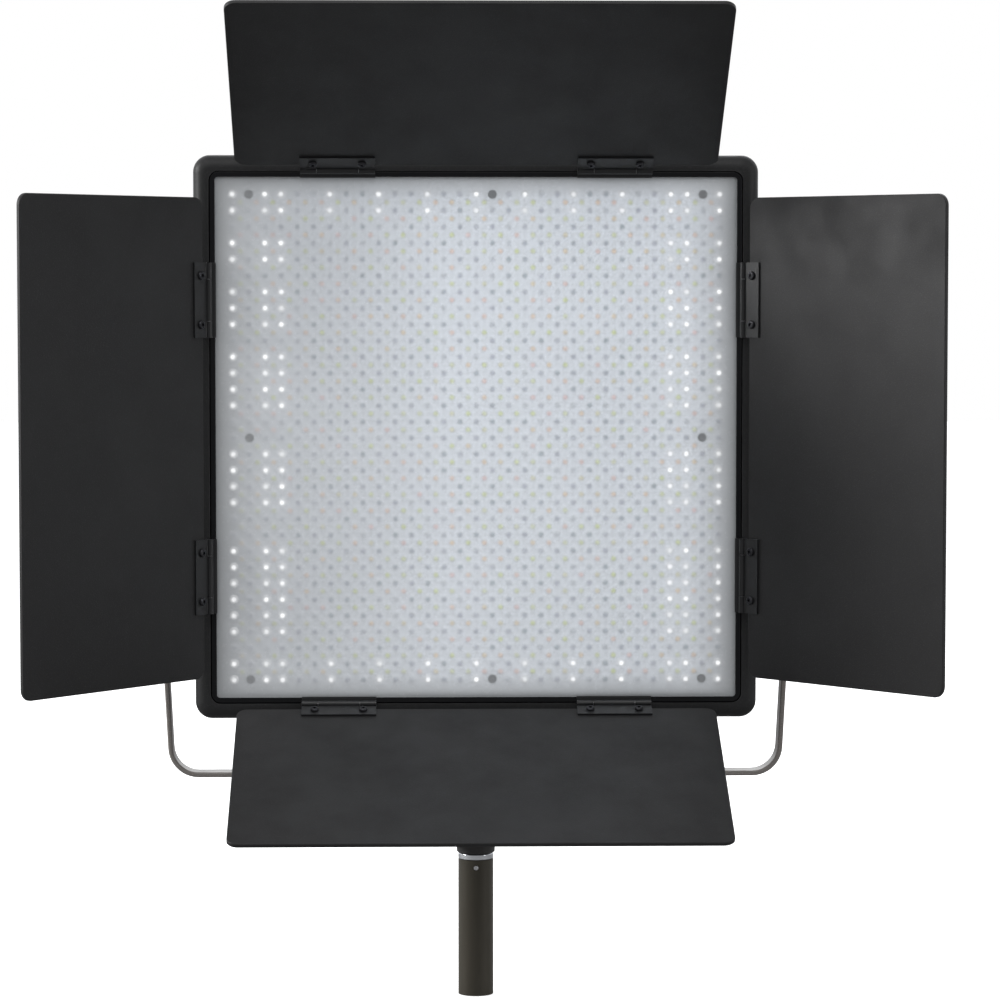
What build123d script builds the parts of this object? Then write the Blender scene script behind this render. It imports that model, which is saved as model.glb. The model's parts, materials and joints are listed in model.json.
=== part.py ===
from build123d import *
import os
from math import cos, floor, radians, sin

# LED panel light on a short riser: a square head with four barn doors, a flat-bar yoke and a stand receiver.
# Millimetres. The origin is the centre of the riser tube's lower end. +Z is up, the lamp shines towards -Y.

os.makedirs("parts", exist_ok=True)

# ---- driving dimensions: head ----------------------------------------------------------------------------
head_size = 348.0            # outer width and height of the housing
head_depth = 54.0            # front face to back face
pivot_depth = 28.0           # tilt axis behind the front face
head_corner = 10.5           # corner radius seen from the front
front_round = 8.0            # round along the housing's front edge
back_round = 6.0             # round along the housing's back edge
shell_wall = 2.5
bezel_border = 9.8           # width of the bezel's front face, outer edge to opening
bezel_depth = 16.0           # front face to the seam with the rear shell
bezel_step = 10.0            # depth of the bezel's thick front part
opening_corner = 6.0
lip_width = 3.2              # visible lip of the lens frame
lip_thickness = 0.9
lip_recess = 0.3             # lip behind the bezel's front face
frame_wall = 1.0
foot_reach = 2.5             # the lens frame's foot under the bezel
foot_thickness = 1.6
lens_thickness = 2.5
lens_corner = 4.2
window_corner = 2.0
gasket_recess = 0.6          # gasket's inner edge behind the lens frame's lip
board_thickness = 1.6
led_pitch = 10.0             # spacing of one colour's LEDs
led_margin = 8.0             # least distance from the outer LED row to the window's edge
sink_thickness = 2.5
sink_overlap = 3.1           # heat sink plate's hold on the bezel's step
fin_height = 8.0
fin_thickness = 1.5
fin_pitch = 15.0
tongue_width = 3.8           # rear shell's tongue inside the bezel
tongue_depth = 3.5
post_radius = 4.8            # corner posts of the rear shell
post_inset = 8.5             # their centres, in from the housing's sides
post_hold = 5.0              # case screws' reach into the bezel
vent_rows, vent_columns = 4, 8
vent_length, vent_width = 26.0, 2.6
vent_spacing, vent_rise = 34.0, 7.0
vent_drop = 38.0             # middle of the vents below the housing's top

# ---- driving dimensions: screws and small rounds -----------------------------------------------------------
case_screw_radius = 1.5
board_screw_radius = 1.5
door_screw_radius = 1.45
door_screw_head = 1.6        # heads and nuts of the door screws
door_socket_radius, door_socket_depth = 1.2, 1.0
head_ratio = 1.8             # head radius to shank radius
screw_head = 1.4             # height of a small screw head
cross_length, cross_width, cross_depth = 2.4, 0.5, 0.7
screw_sink = 1.2             # depth of the recesses for the case screws
soft_round = 0.8             # rounds on turned and moulded rims
edge_break = 0.6             # chamfers on cut ends

# ---- driving dimensions: barn doors and hinges -------------------------------------------------------------
hinge_inset = 10.0           # hinge line, in from the housing's side
hinge_rise = 3.8             # hinge line in front of the front face
door_inset = 26.25           # each end of a door, in from the housing's corner
door_meeting_gap = 7.0       # between two closed opposite doors
door_start = 4.0             # sheet edge from the hinge line
sheet_thickness = 1.2
hem_width = 5.0
door_corner = 7.0
hem_corner = 4.0             # inner corners of the hem
clip_width = 46.0
clip_offset = 85.0           # clip centres from the door's middle
leaf_thickness = 1.2
leaf_start = 2.6
leaf_end = 12.8
leaf_overhang = 0.6          # frame leaf past the lens frame's lip, over the window
leaf_outer = 3.0             # frame leaf beyond the hinge line
leg_length = 8.0             # frame leaf's leg behind the front face
barrel_radius = 2.0
hinge_pin_radius = 1.0
end_knuckle = 10.0
knuckle_web = 2.4            # bar that joins an end knuckle to its leaf
knuckle_gap = 0.2
screw_spread = 15.0          # door screws from the clip's middle
screw_reach = 7.3            # door screws from the hinge line
door_angles = {"left": 51.0, "right": 48.6, "top": 55.5, "bottom": 67.0}   # from flat open

# ---- driving dimensions: yoke, receiver, riser -------------------------------------------------------------
bar_thickness = 3.2
bar_width = 16.0
bar_edge = 1.2
yoke_clearance = 35.6        # housing's lower side to the yoke's bottom bar
pivot_gap = 21.5             # housing's side to the arm, at the tilt axis
foot_gap = 14.1              # the same at the bottom corner
arm_straight = 70.0          # upright length of the arm below the tilt axis
corner_bend = 17.4
arm_bend = 60.0
pad_radius = 12.0
stud_radius = 4.0
boss_radius = 13.0
washer_thickness = 1.7
receiver_width = 48.0
receiver_depth = 40.0
receiver_height = 41.4
receiver_corner = 4.0        # upright corners of the receiver
receiver_round = 3.9         # round along its lower edges
neck_radius = 12.0
neck_height = 7.0
bolt_offset = 16.0
bolt_radius = 2.5
bolt_length = 18.0           # bolt below the yoke's bar
bolt_head = 2.8
bolt_socket_radius = 1.7
bolt_socket_depth = 1.6
riser_radius = 11.0
riser_bore = 9.0
riser_length = 85.6
ring_height = 3.9
spigot_radius = 7.94
spigot_reach = 36.0          # spigot above the shoulder ring
spigot_plug = 46.0           # spigot inside the tube
spigot_chamfer = 1.5
groove_depth = 1.3
lock_height = 18.0           # lock screw above the neck's lower end
lock_radius = 4.0
groove_width = 2.6 * lock_radius
cross_pin_drop = 4.6         # cross pin below the tube's upper end
cross_pin_radius = 1.6
cross_pin_short = 0.1        # each end behind the tube's outside
plug_recess = 1.0
plug_length = 12.0
lock_knob_base = 22.0        # lock knob from the riser's axis
lock_knob_radius = 15.0
lock_knob_height = 18.0
lock_knob_hub = 4.0
knob_radius = 20.0
knob_height = 24.0
knob_hub = 6.0
knob_bore = 0.6              # share of a knob's height that its stud reaches into
boss_neck = 7.0
boss_flange_radius = 15.0
boss_flange = 3.0
stud_inside = 14.0           # stud behind the housing's side

# ---- clearances --------------------------------------------------------------------------------------------
running = 0.05               # radial, pin in its bore
snug = 0.02                  # radial, pin held in its seat
turn_gap = 0.3               # faces that turn past each other
seat_gap = 0.3               # around a sheet or board in its frame
frame_gap = 0.5              # lens frame in the bezel's opening
bolt_gap = 0.2               # radial, screw in its clearance hole
cap_gap = 0.3                # a button, a catch or a leaf in its cut-out, on each side

# ---- derived places ----------------------------------------------------------------------------------------
half = head_size / 2
front_y = -pivot_depth
back_y = front_y + head_depth
seam_y = front_y + bezel_depth
step_y = front_y + bezel_step
inner_back_y = back_y - shell_wall
opening_half = half - bezel_border
frame_half = opening_half - frame_gap
window_half = frame_half - lip_width
lens_half = frame_half - frame_wall - seat_gap
lens_front_y = front_y + lip_recess + lip_thickness
board_front_y = step_y - board_thickness
sink_back_y = step_y + sink_thickness
rebate_half = opening_half + foot_reach - frame_gap + seat_gap
post_place = half - post_inset
led_half = led_pitch * floor((window_half - led_margin) / led_pitch)

ring_top = riser_length + ring_height
neck_bottom = ring_top + turn_gap
block_bottom = neck_bottom + neck_height
lock_z = neck_bottom + lock_height
cross_pin_z = riser_length - cross_pin_drop
bar_bottom = block_bottom + receiver_height
bar_top = bar_bottom + bar_thickness
bar_middle = bar_bottom + bar_thickness / 2
pivot_z = bar_top + yoke_clearance + half
arm_x = half + pivot_gap + bar_thickness / 2
foot_x = half + foot_gap + bar_thickness / 2
boss_end = half + pivot_gap - washer_thickness - turn_gap

hinge_reach = half - hinge_inset
door_width = head_size - 2 * door_inset
door_length = hinge_reach - door_meeting_gap / 2
sheet_back = -leaf_thickness - sheet_thickness

SIDES = {"left": Vector(-1, 0, 0), "right": Vector(1, 0, 0),
         "top": Vector(0, 0, 1), "bottom": Vector(0, 0, -1)}
FRONT = Vector(0, -1, 0)


def head_plane(y):
    """Upright plane at depth y, centred on the head: local x is X, y is Z, and extruding goes forwards."""
    return Plane(origin=(0, y, pivot_z), x_dir=(1, 0, 0), z_dir=(0, -1, 0))


def back_plane(y):
    """The same plane seen from behind: extruding goes backwards, and local x is -X."""
    return Plane(origin=(0, y, pivot_z), x_dir=(-1, 0, 0), z_dir=(0, 1, 0))


def side_plane(x, sign):
    """Plane across the tilt axis at distance x on one side, whose normal points away from the head."""
    return Plane(origin=(sign * x, 0, pivot_z), x_dir=(0, sign, 0), z_dir=(sign, 0, 0))


def hinge_plane(side, angle):
    """Plane on a door's hinge line: local x along the hinge, y along the door, z out of its inner face."""
    outward = SIDES[side]
    turn = radians(angle)
    along = outward * cos(turn) + FRONT * sin(turn)
    normal = FRONT * cos(turn) - outward * sin(turn)
    origin = Vector(0, front_y - hinge_rise, pivot_z) + outward * hinge_reach
    return Plane(origin=origin, x_dir=along.cross(normal), z_dir=normal)


def finish(piece, name):
    """Label a finished piece and write its file."""
    piece.part.label = name
    export_step(piece.part, f"parts/{name}.step")


# ==== riser =================================================================================================
with BuildPart() as riser_tube:
    with BuildSketch(Plane.XY):
        Circle(riser_radius)
        Circle(riser_bore, mode=Mode.SUBTRACT)
    extrude(amount=riser_length)
    with BuildSketch(Plane.XZ.offset(-2 * riser_radius)):
        with Locations((0, cross_pin_z)):
            Circle(cross_pin_radius + snug)
    extrude(amount=4 * riser_radius, mode=Mode.SUBTRACT)
    chamfer(riser_tube.faces().sort_by(Axis.Z)[0].inner_wires().edges(), length=edge_break)
finish(riser_tube, "riser_tube")

with BuildPart() as riser_spigot:
    with BuildSketch(Plane.XY.offset(riser_length - spigot_plug)):
        Circle(riser_bore - snug)
    extrude(amount=spigot_plug)
    with BuildSketch(Plane.XY.offset(riser_length)):
        Circle(spigot_radius)
    extrude(amount=ring_height + spigot_reach)
    chamfer(riser_spigot.faces().sort_by(Axis.Z)[-1].edges(), length=spigot_chamfer)
    with BuildSketch(Plane.XY.offset(lock_z - groove_width / 2)):
        Circle(2 * spigot_radius)
        Circle(spigot_radius - groove_depth, mode=Mode.SUBTRACT)
    extrude(amount=groove_width, mode=Mode.SUBTRACT)
    with BuildSketch(Plane.XZ.offset(-2 * riser_radius)):
        with Locations((0, cross_pin_z)):
            Circle(cross_pin_radius + snug)
    extrude(amount=4 * riser_radius, mode=Mode.SUBTRACT)
finish(riser_spigot, "riser_spigot")

with BuildPart() as shoulder_ring:
    with BuildSketch(Plane.XY.offset(riser_length)):
        Circle(riser_radius)
        Circle(spigot_radius + snug, mode=Mode.SUBTRACT)
    extrude(amount=ring_height)
    outer_rims = shoulder_ring.edges().filter_by(GeomType.CIRCLE).group_by(SortBy.RADIUS)[-1]
    fillet(outer_rims, radius=soft_round)
finish(shoulder_ring, "shoulder_ring")

with BuildPart() as riser_cross_pin:
    pin_half = riser_radius - cross_pin_short
    with BuildSketch(Plane.XZ.offset(-pin_half)):
        with Locations((0, cross_pin_z)):
            Circle(cross_pin_radius)
    extrude(amount=2 * pin_half)
    fillet(riser_cross_pin.edges().filter_by(GeomType.CIRCLE), radius=0.2 * cross_pin_radius)
finish(riser_cross_pin, "riser_cross_pin")

with BuildPart() as tube_end_plug:
    with BuildSketch(Plane.XY.offset(plug_recess)):
        Circle(riser_bore - snug)
    extrude(amount=plug_length)
    chamfer(tube_end_plug.edges().filter_by(GeomType.CIRCLE), length=edge_break)
finish(tube_end_plug, "tube_end_plug")

# ==== receiver and yoke =====================================================================================
bore_radius = spigot_radius + running + snug
bore_depth = spigot_reach + ring_height
bolt_hole = bolt_length + 2.0

with BuildPart() as stand_receiver:
    with BuildSketch(Plane.XY.offset(block_bottom)):
        RectangleRounded(receiver_width, receiver_depth, receiver_corner)
    extrude(amount=receiver_height)
    lower_edges = stand_receiver.faces().sort_by(Axis.Z)[0].edges()
    fillet(lower_edges, radius=min(receiver_round, receiver_corner - 0.1))
    with BuildSketch(Plane.XY.offset(neck_bottom)):
        Circle(neck_radius)
    extrude(amount=neck_height + receiver_height / 2)
    with BuildSketch(Plane.XY.offset(neck_bottom)):
        Circle(bore_radius)
    extrude(amount=bore_depth, mode=Mode.SUBTRACT)
    chamfer(stand_receiver.faces().sort_by(Axis.Z)[0].outer_wire().edges(), length=edge_break)
    with BuildSketch(Plane.XZ.offset(-receiver_depth / 2)):
        with Locations((0, lock_z)):
            Circle(lock_radius + running)
    extrude(amount=receiver_depth / 2, mode=Mode.SUBTRACT)
    with BuildSketch(Plane.XY.offset(bar_bottom)):
        with Locations((-bolt_offset, 0), (bolt_offset, 0)):
            Circle(bolt_radius + snug)
    extrude(amount=-bolt_hole, mode=Mode.SUBTRACT)
finish(stand_receiver, "stand_receiver")

with BuildPart() as yoke_bar:
    for sign in (-1, 1):
        with BuildSketch(side_plane(arm_x - bar_thickness / 2, sign)):
            Circle(pad_radius)
        extrude(amount=bar_thickness)
    fillet(yoke_bar.edges().filter_by(GeomType.CIRCLE), radius=bar_edge / 2)
    with BuildLine(Plane.XZ) as yoke_path:
        FilletPolyline(
            (-arm_x, pivot_z),
            (-arm_x, pivot_z - arm_straight),
            (-foot_x, bar_middle),
            (foot_x, bar_middle),
            (arm_x, pivot_z - arm_straight),
            (arm_x, pivot_z),
            radius=[arm_bend, corner_bend, corner_bend, arm_bend],
        )
    with BuildSketch(Plane(origin=(-arm_x, 0, pivot_z), x_dir=(0, 1, 0), z_dir=(0, 0, -1))):
        RectangleRounded(bar_width, bar_thickness, bar_edge)
    sweep(path=yoke_path.wire())
    for sign in (-1, 1):
        with BuildSketch(side_plane(arm_x - bar_thickness, sign)):
            Circle(stud_radius + turn_gap)
        extrude(amount=2 * bar_thickness, mode=Mode.SUBTRACT)
    with BuildSketch(Plane.XY.offset(bar_bottom)):
        with Locations((-bolt_offset, 0), (bolt_offset, 0)):
            Circle(bolt_radius + bolt_gap)
    extrude(amount=bar_thickness, mode=Mode.SUBTRACT)
finish(yoke_bar, "yoke_bar")

with BuildPart() as receiver_bolts:
    with BuildSketch(Plane.XY.offset(bar_top)):
        with Locations((-bolt_offset, 0), (bolt_offset, 0)):
            Circle(bolt_radius * head_ratio)
    extrude(amount=bolt_head)
    fillet(receiver_bolts.edges().group_by(Axis.Z)[-1], radius=1.5 * soft_round)
    with BuildSketch(Plane.XY.offset(bar_top)):
        with Locations((-bolt_offset, 0), (bolt_offset, 0)):
            Circle(bolt_radius)
    extrude(amount=-bolt_length)
    with BuildSketch(Plane.XY.offset(bar_top + bolt_head)):
        with Locations((-bolt_offset, 0), (bolt_offset, 0)):
            RegularPolygon(radius=bolt_socket_radius, side_count=6)
    extrude(amount=-bolt_socket_depth, mode=Mode.SUBTRACT)
finish(receiver_bolts, "receiver_bolts")

with BuildPart() as pivot_washers:
    for sign in (-1, 1):
        with BuildSketch(side_plane(half + pivot_gap - washer_thickness, sign)):
            Circle(boss_radius)
            Circle(stud_radius + turn_gap, mode=Mode.SUBTRACT)
        extrude(amount=washer_thickness)
finish(pivot_washers, "pivot_washers")



def lobed_knob(plane, radius, height, hub_height, lobes, stud):
    """Knob that stands on a plane: a hub, a grip with finger hollows, and a blind bore for its stud."""
    with BuildPart() as knob:
        with BuildSketch(plane):
            Circle(radius * 0.6)
        extrude(amount=hub_height)
        with BuildSketch(plane.offset(hub_height)):
            Circle(radius)
            with PolarLocations(radius * 1.17, lobes):
                Circle(radius * 0.31, mode=Mode.SUBTRACT)
        extrude(amount=height - hub_height)
        grip_rim = knob.faces().sort_by(Axis(plane.origin, plane.z_dir))[-1].edges()
        fillet(grip_rim, radius=0.1 * radius)
        with BuildSketch(plane):
            Circle(stud + snug)
        extrude(amount=height * knob_bore, mode=Mode.SUBTRACT)
    return knob


lock_plane = Plane(origin=(0, lock_knob_base, lock_z), x_dir=(-1, 0, 0), z_dir=(0, 1, 0))
lock_knob = lobed_knob(lock_plane, lock_knob_radius, lock_knob_height, lock_knob_hub, 6, lock_radius)
finish(lock_knob, "lock_knob")

with BuildPart() as lock_screw:
    screw_tip = spigot_radius - groove_depth + turn_gap
    screw_end = lock_knob_base + lock_knob_height * knob_bore
    with BuildSketch(Plane.XZ.offset(-screw_end)):
        with Locations((0, lock_z)):
            Circle(lock_radius)
    extrude(amount=screw_end - screw_tip)
    chamfer(lock_screw.edges().filter_by(GeomType.CIRCLE), length=edge_break)
finish(lock_screw, "lock_screw")

# ==== tilt bosses, studs and knobs ==========================================================================
knob_base = half + pivot_gap + bar_thickness + turn_gap

with BuildPart() as tilt_bosses:
    for sign in (-1, 1):
        with BuildSketch(side_plane(half, sign)):
            Circle(boss_radius)
        extrude(amount=boss_end - half)
        with BuildSketch(side_plane(half - shell_wall, sign)):
            Circle(boss_neck)
        extrude(amount=shell_wall)
        with BuildSketch(side_plane(half - shell_wall - boss_flange, sign)):
            Circle(boss_flange_radius)
        extrude(amount=boss_flange)
        with BuildSketch(side_plane(half - shell_wall - boss_flange, sign)):
            Circle(stud_radius + running)
        extrude(amount=boss_end, mode=Mode.SUBTRACT)
    boss_rims = tilt_bosses.edges().filter_by(GeomType.CIRCLE).filter_by(
        lambda e: abs(e.radius - boss_radius) < 0.01 and abs(e.center().X) > half + 1)
    fillet(boss_rims, radius=soft_round)
finish(tilt_bosses, "tilt_bosses")

for side, sign in (("left", -1), ("right", 1)):
    tilt_knob = lobed_knob(side_plane(knob_base, sign), knob_radius, knob_height, knob_hub, 7, stud_radius)
    finish(tilt_knob, f"tilt_knob_{side}")

    with BuildPart() as tilt_stud:
        with BuildSketch(side_plane(half - stud_inside, sign)):
            Circle(stud_radius)
        extrude(amount=knob_base + knob_height * knob_bore - half + stud_inside)
        chamfer(tilt_stud.edges().filter_by(GeomType.CIRCLE), length=edge_break)
    finish(tilt_stud, f"tilt_stud_{side}")

# ==== head housing ==========================================================================================
corner_posts = [(a * post_place, b * post_place) for a in (-1, 1) for b in (-1, 1)]
clip_slot = leaf_thickness + bolt_gap

with BuildPart() as front_bezel:
    with BuildSketch(head_plane(seam_y)):
        RectangleRounded(head_size, head_size, head_corner)
    extrude(amount=bezel_depth)
    fillet(front_bezel.faces().sort_by(Axis.Y)[0].edges(), radius=front_round)
    with BuildSketch(head_plane(seam_y)):
        RectangleRounded(head_size - 2 * shell_wall, head_size - 2 * shell_wall, head_corner - shell_wall)
    extrude(amount=bezel_depth - bezel_step, mode=Mode.SUBTRACT)
    with BuildSketch(head_plane(step_y)):
        RectangleRounded(2 * rebate_half, 2 * rebate_half, opening_corner + foot_reach - frame_gap)
    extrude(amount=foot_thickness + seat_gap, mode=Mode.SUBTRACT)
    with BuildSketch(head_plane(step_y)):
        RectangleRounded(2 * opening_half, 2 * opening_half, opening_corner)
    extrude(amount=bezel_step, mode=Mode.SUBTRACT)
    for side in SIDES:
        with BuildSketch(hinge_plane(side, 0).offset(-hinge_rise)):
            with Locations((-clip_offset, 0), (clip_offset, 0)):
                with Locations((0, opening_half - hinge_reach + clip_slot / 2)):
                    Rectangle(clip_width + 2 * cap_gap, clip_slot)
        extrude(amount=-leg_length - cap_gap, mode=Mode.SUBTRACT)
    with BuildSketch(head_plane(step_y)):
        with Locations(*corner_posts):
            Circle(case_screw_radius + snug)
    extrude(amount=post_hold, mode=Mode.SUBTRACT)
finish(front_bezel, "front_bezel")

# Control panel on the back, centred below the middle; battery plate above the middle.
panel_width, panel_height, panel_thickness = 224.0, 66.0, 2.0
panel_z = -96.0
panel_face = back_y + panel_thickness
cutout_width, cutout_height, cutout_corner = 196.0, 48.0, 4.0
battery_width, battery_height, battery_base = 92.0, 110.0, 6.0
battery_z = 34.0
battery_face = back_y + battery_base
battery_screw_places = [(a * (battery_width / 2 - 18), battery_z + b * (battery_height / 2 - 30))
                        for a in (-1, 1) for b in (-1, 1)]
battery_sink = 1.6           # depth of the battery plate's screw recesses
driver_width, driver_height = 150.0, 84.0
driver_z = 30.0
driver_y = 2.0
driver_inset = 6.0           # driver screws in from the board's edges
driver_post_radius = 3.5
driver_posts = [(a * (driver_width / 2 - driver_inset), driver_z + b * (driver_height / 2 - driver_inset))
                for a in (-1, 1) for b in (-1, 1)]
tongue_root = 3.0            # tongue behind the seam, where it joins the wall

with BuildPart() as rear_shell:
    with BuildSketch(head_plane(back_y)):
        RectangleRounded(head_size, head_size, head_corner)
    extrude(amount=head_depth - bezel_depth)
    fillet(rear_shell.faces().sort_by(Axis.Y)[-1].edges(), radius=back_round)
    with BuildSketch(head_plane(inner_back_y)):
        RectangleRounded(head_size - 2 * shell_wall, head_size - 2 * shell_wall, head_corner - shell_wall)
    extrude(amount=head_depth - bezel_depth, mode=Mode.SUBTRACT)
    tongue_outer = head_size - 2 * (shell_wall + bolt_gap)
    tongue_inner = head_size - 2 * (shell_wall + tongue_width)
    tongue_corner = head_corner - shell_wall - tongue_width
    with BuildSketch(head_plane(seam_y)):
        RectangleRounded(tongue_outer, tongue_outer, head_corner - shell_wall - bolt_gap)
        RectangleRounded(tongue_inner, tongue_inner, tongue_corner, mode=Mode.SUBTRACT)
    extrude(amount=tongue_depth)
    with BuildSketch(head_plane(seam_y + tongue_root)):
        RectangleRounded(head_size - shell_wall, head_size - shell_wall, head_corner - shell_wall / 2)
        RectangleRounded(tongue_inner, tongue_inner, tongue_corner, mode=Mode.SUBTRACT)
    extrude(amount=tongue_root)
    with BuildSketch(head_plane(back_y - shell_wall / 2)):
        with Locations(*corner_posts):
            Circle(post_radius)
    extrude(amount=back_y - shell_wall / 2 - step_y)
    with BuildSketch(head_plane(inner_back_y + shell_wall / 2)):
        with Locations(*driver_posts):
            Circle(driver_post_radius)
    extrude(amount=inner_back_y + shell_wall / 2 - driver_y)
    with BuildSketch(head_plane(back_y)):
        with Locations(*corner_posts):
            Circle(case_screw_radius + bolt_gap)
        with Locations(*driver_posts):
            Circle(case_screw_radius + bolt_gap)
    extrude(amount=head_depth, mode=Mode.SUBTRACT)
    with BuildSketch(head_plane(back_y)):
        with Locations(*corner_posts):
            Circle(case_screw_radius * 2 + bolt_gap)
        with Locations(*driver_posts):
            Circle(case_screw_radius * 2 + bolt_gap)
    extrude(amount=screw_sink, mode=Mode.SUBTRACT)
    with BuildSketch(head_plane(back_y)):
        with Locations((0, panel_z)):
            RectangleRounded(cutout_width, cutout_height, cutout_corner)
        with Locations((0, half - vent_drop)):
            with GridLocations(vent_spacing, vent_rise, vent_columns, vent_rows):
                SlotOverall(vent_length, vent_width)
        with Locations(*battery_screw_places):
            Circle(case_screw_radius + snug)
    extrude(amount=2 * shell_wall, mode=Mode.SUBTRACT)
    for sign in (-1, 1):
        with BuildSketch(side_plane(half - shell_wall - 2 * boss_flange, sign)):
            Circle(boss_flange_radius + seat_gap)
        extrude(amount=2 * boss_flange, mode=Mode.SUBTRACT)
        with BuildSketch(side_plane(half - shell_wall, sign)):
            Circle(boss_neck + snug)
        extrude(amount=shell_wall, mode=Mode.SUBTRACT)
finish(rear_shell, "rear_shell")



def cross_screws(plane, places, radius, length):
    """Small screws whose heads sit on a plane, added to the part that is being built."""
    with BuildSketch(plane) as heads:
        with Locations(*places):
            Circle(radius * head_ratio)
    extrude(heads.sketch, amount=screw_head)
    rims = edges(Select.LAST).group_by(Axis(plane.origin, plane.z_dir))[-1]
    fillet(rims, radius=screw_head / 2)
    with BuildSketch(plane) as shanks:
        with Locations(*places):
            Circle(radius)
    extrude(shanks.sketch, amount=-length)
    with BuildSketch(plane.offset(screw_head)) as crosses:
        with Locations(*places):
            Rectangle(cross_length, cross_width)
            Rectangle(cross_width, cross_length)
    extrude(crosses.sketch, amount=-cross_depth, mode=Mode.SUBTRACT)


case_seat_y = back_y - screw_sink
with BuildPart() as case_screws:
    case_screw_length = case_seat_y - step_y + post_hold - seat_gap
    cross_screws(back_plane(case_seat_y), corner_posts, case_screw_radius, case_screw_length)
finish(case_screws, "case_screws")

# ==== light engine ==========================================================================================
with BuildPart() as lens_frame:
    frame_back_y = step_y - bolt_gap
    with BuildSketch(head_plane(frame_back_y)):
        RectangleRounded(2 * frame_half, 2 * frame_half, opening_corner - frame_gap)
    extrude(amount=frame_back_y - front_y - lip_recess)
    fillet(lens_frame.faces().sort_by(Axis.Y)[0].outer_wire().edges(), radius=soft_round / 2)
    with BuildSketch(head_plane(frame_back_y)):
        foot_size = 2 * (frame_half + foot_reach)
        RectangleRounded(foot_size, foot_size, opening_corner + foot_reach - frame_gap)
    extrude(amount=foot_thickness)
    with BuildSketch(head_plane(step_y)):
        RectangleRounded(2 * (lens_half + seat_gap), 2 * (lens_half + seat_gap), lens_corner + seat_gap)
    extrude(amount=step_y - lens_front_y, mode=Mode.SUBTRACT)
    with BuildSketch(head_plane(lens_front_y)):
        RectangleRounded(2 * window_half, 2 * window_half, window_corner)
    extrude(amount=bezel_step, mode=Mode.SUBTRACT)
finish(lens_frame, "lens_frame")

with BuildPart() as lens_sheet:
    with BuildSketch(head_plane(lens_front_y + lens_thickness)):
        RectangleRounded(2 * lens_half, 2 * lens_half, lens_corner)
    extrude(amount=lens_thickness)
finish(lens_sheet, "lens_sheet")

with BuildPart() as lens_gasket:
    with BuildSketch(head_plane(board_front_y)):
        RectangleRounded(2 * lens_half, 2 * lens_half, lens_corner)
        gasket_opening = 2 * (window_half + gasket_recess)
        RectangleRounded(gasket_opening, gasket_opening, window_corner, mode=Mode.SUBTRACT)
    extrude(amount=board_front_y - lens_front_y - lens_thickness)
finish(lens_gasket, "lens_gasket")

edge_x = led_half - led_pitch
board_screw_places = [(x, z) for x in (-edge_x, led_pitch, edge_x) for z in (-led_half, 0, led_half)
                      if not (x == led_pitch and z == 0)]

with BuildPart() as led_board:
    with BuildSketch(head_plane(step_y)):
        RectangleRounded(2 * lens_half, 2 * lens_half, lens_corner)
        with Locations(*board_screw_places):
            Circle(board_screw_radius + bolt_gap, mode=Mode.SUBTRACT)
    extrude(amount=board_thickness)
finish(led_board, "led_board")

sink_half = rebate_half + sink_overlap

with BuildPart() as heat_sink:
    with BuildSketch(head_plane(sink_back_y)):
        RectangleRounded(2 * sink_half, 2 * sink_half, opening_corner)
        with Locations(*corner_posts):
            Circle(post_radius + frame_gap, mode=Mode.SUBTRACT)
    extrude(amount=sink_thickness)
    fin_count = 2 * floor((led_half - led_margin) / fin_pitch) + 1
    with BuildSketch(head_plane(sink_back_y + fin_height)):
        with GridLocations(fin_pitch, 1, fin_count, 1):
            Rectangle(fin_thickness, 2 * (led_half - led_pitch))
    extrude(amount=fin_height)
    with BuildSketch(head_plane(sink_back_y)):
        with Locations(*board_screw_places):
            Circle(board_screw_radius + snug)
    extrude(amount=sink_thickness, mode=Mode.SUBTRACT)
finish(heat_sink, "heat_sink")

with BuildPart() as board_screws:
    board_screw_length = board_thickness + sink_thickness
    cross_screws(head_plane(board_front_y), board_screw_places, board_screw_radius, board_screw_length)
finish(board_screws, "board_screws")

# ==== electronics ===========================================================================================
with BuildPart() as driver_board:
    with BuildSketch(head_plane(driver_y)):
        with Locations((0, driver_z)):
            Rectangle(driver_width, driver_height)
        with Locations(*driver_posts):
            Circle(case_screw_radius + snug, mode=Mode.SUBTRACT)
    extrude(amount=board_thickness)
finish(driver_board, "driver_board")

driver_front = driver_y - board_thickness
with BuildPart() as driver_components:
    with BuildSketch(head_plane(driver_y + 12.0)):
        with Locations((-40, driver_z + 20), (-26, driver_z + 20), (-40, driver_z + 5)):
            Circle(5.0)
    extrude(amount=12.0)
    with BuildSketch(head_plane(driver_y + 9.0)):
        with Locations((5, driver_z + 12), (5, driver_z - 14)):
            RectangleRounded(20.0, 20.0, 3.0)
    extrude(amount=9.0)
    with BuildSketch(head_plane(driver_y + 7.0)):
        with Locations((38, driver_z + 16), (38, driver_z - 4)):
            Rectangle(16.0, 8.0)
        with Locations((-40, driver_z - 22)):
            Rectangle(24.0, 8.0)
    extrude(amount=7.0)
finish(driver_components, "driver_components")

with BuildPart() as driver_screws:
    with BuildSketch(back_plane(case_seat_y)):
        with Locations(*driver_posts):
            Circle(case_screw_radius * head_ratio)
    extrude(amount=screw_sink - bolt_gap)
    with BuildSketch(back_plane(case_seat_y)):
        with Locations(*driver_posts):
            Circle(case_screw_radius)
    extrude(amount=-(case_seat_y - driver_front))
finish(driver_screws, "driver_screws")

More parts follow.
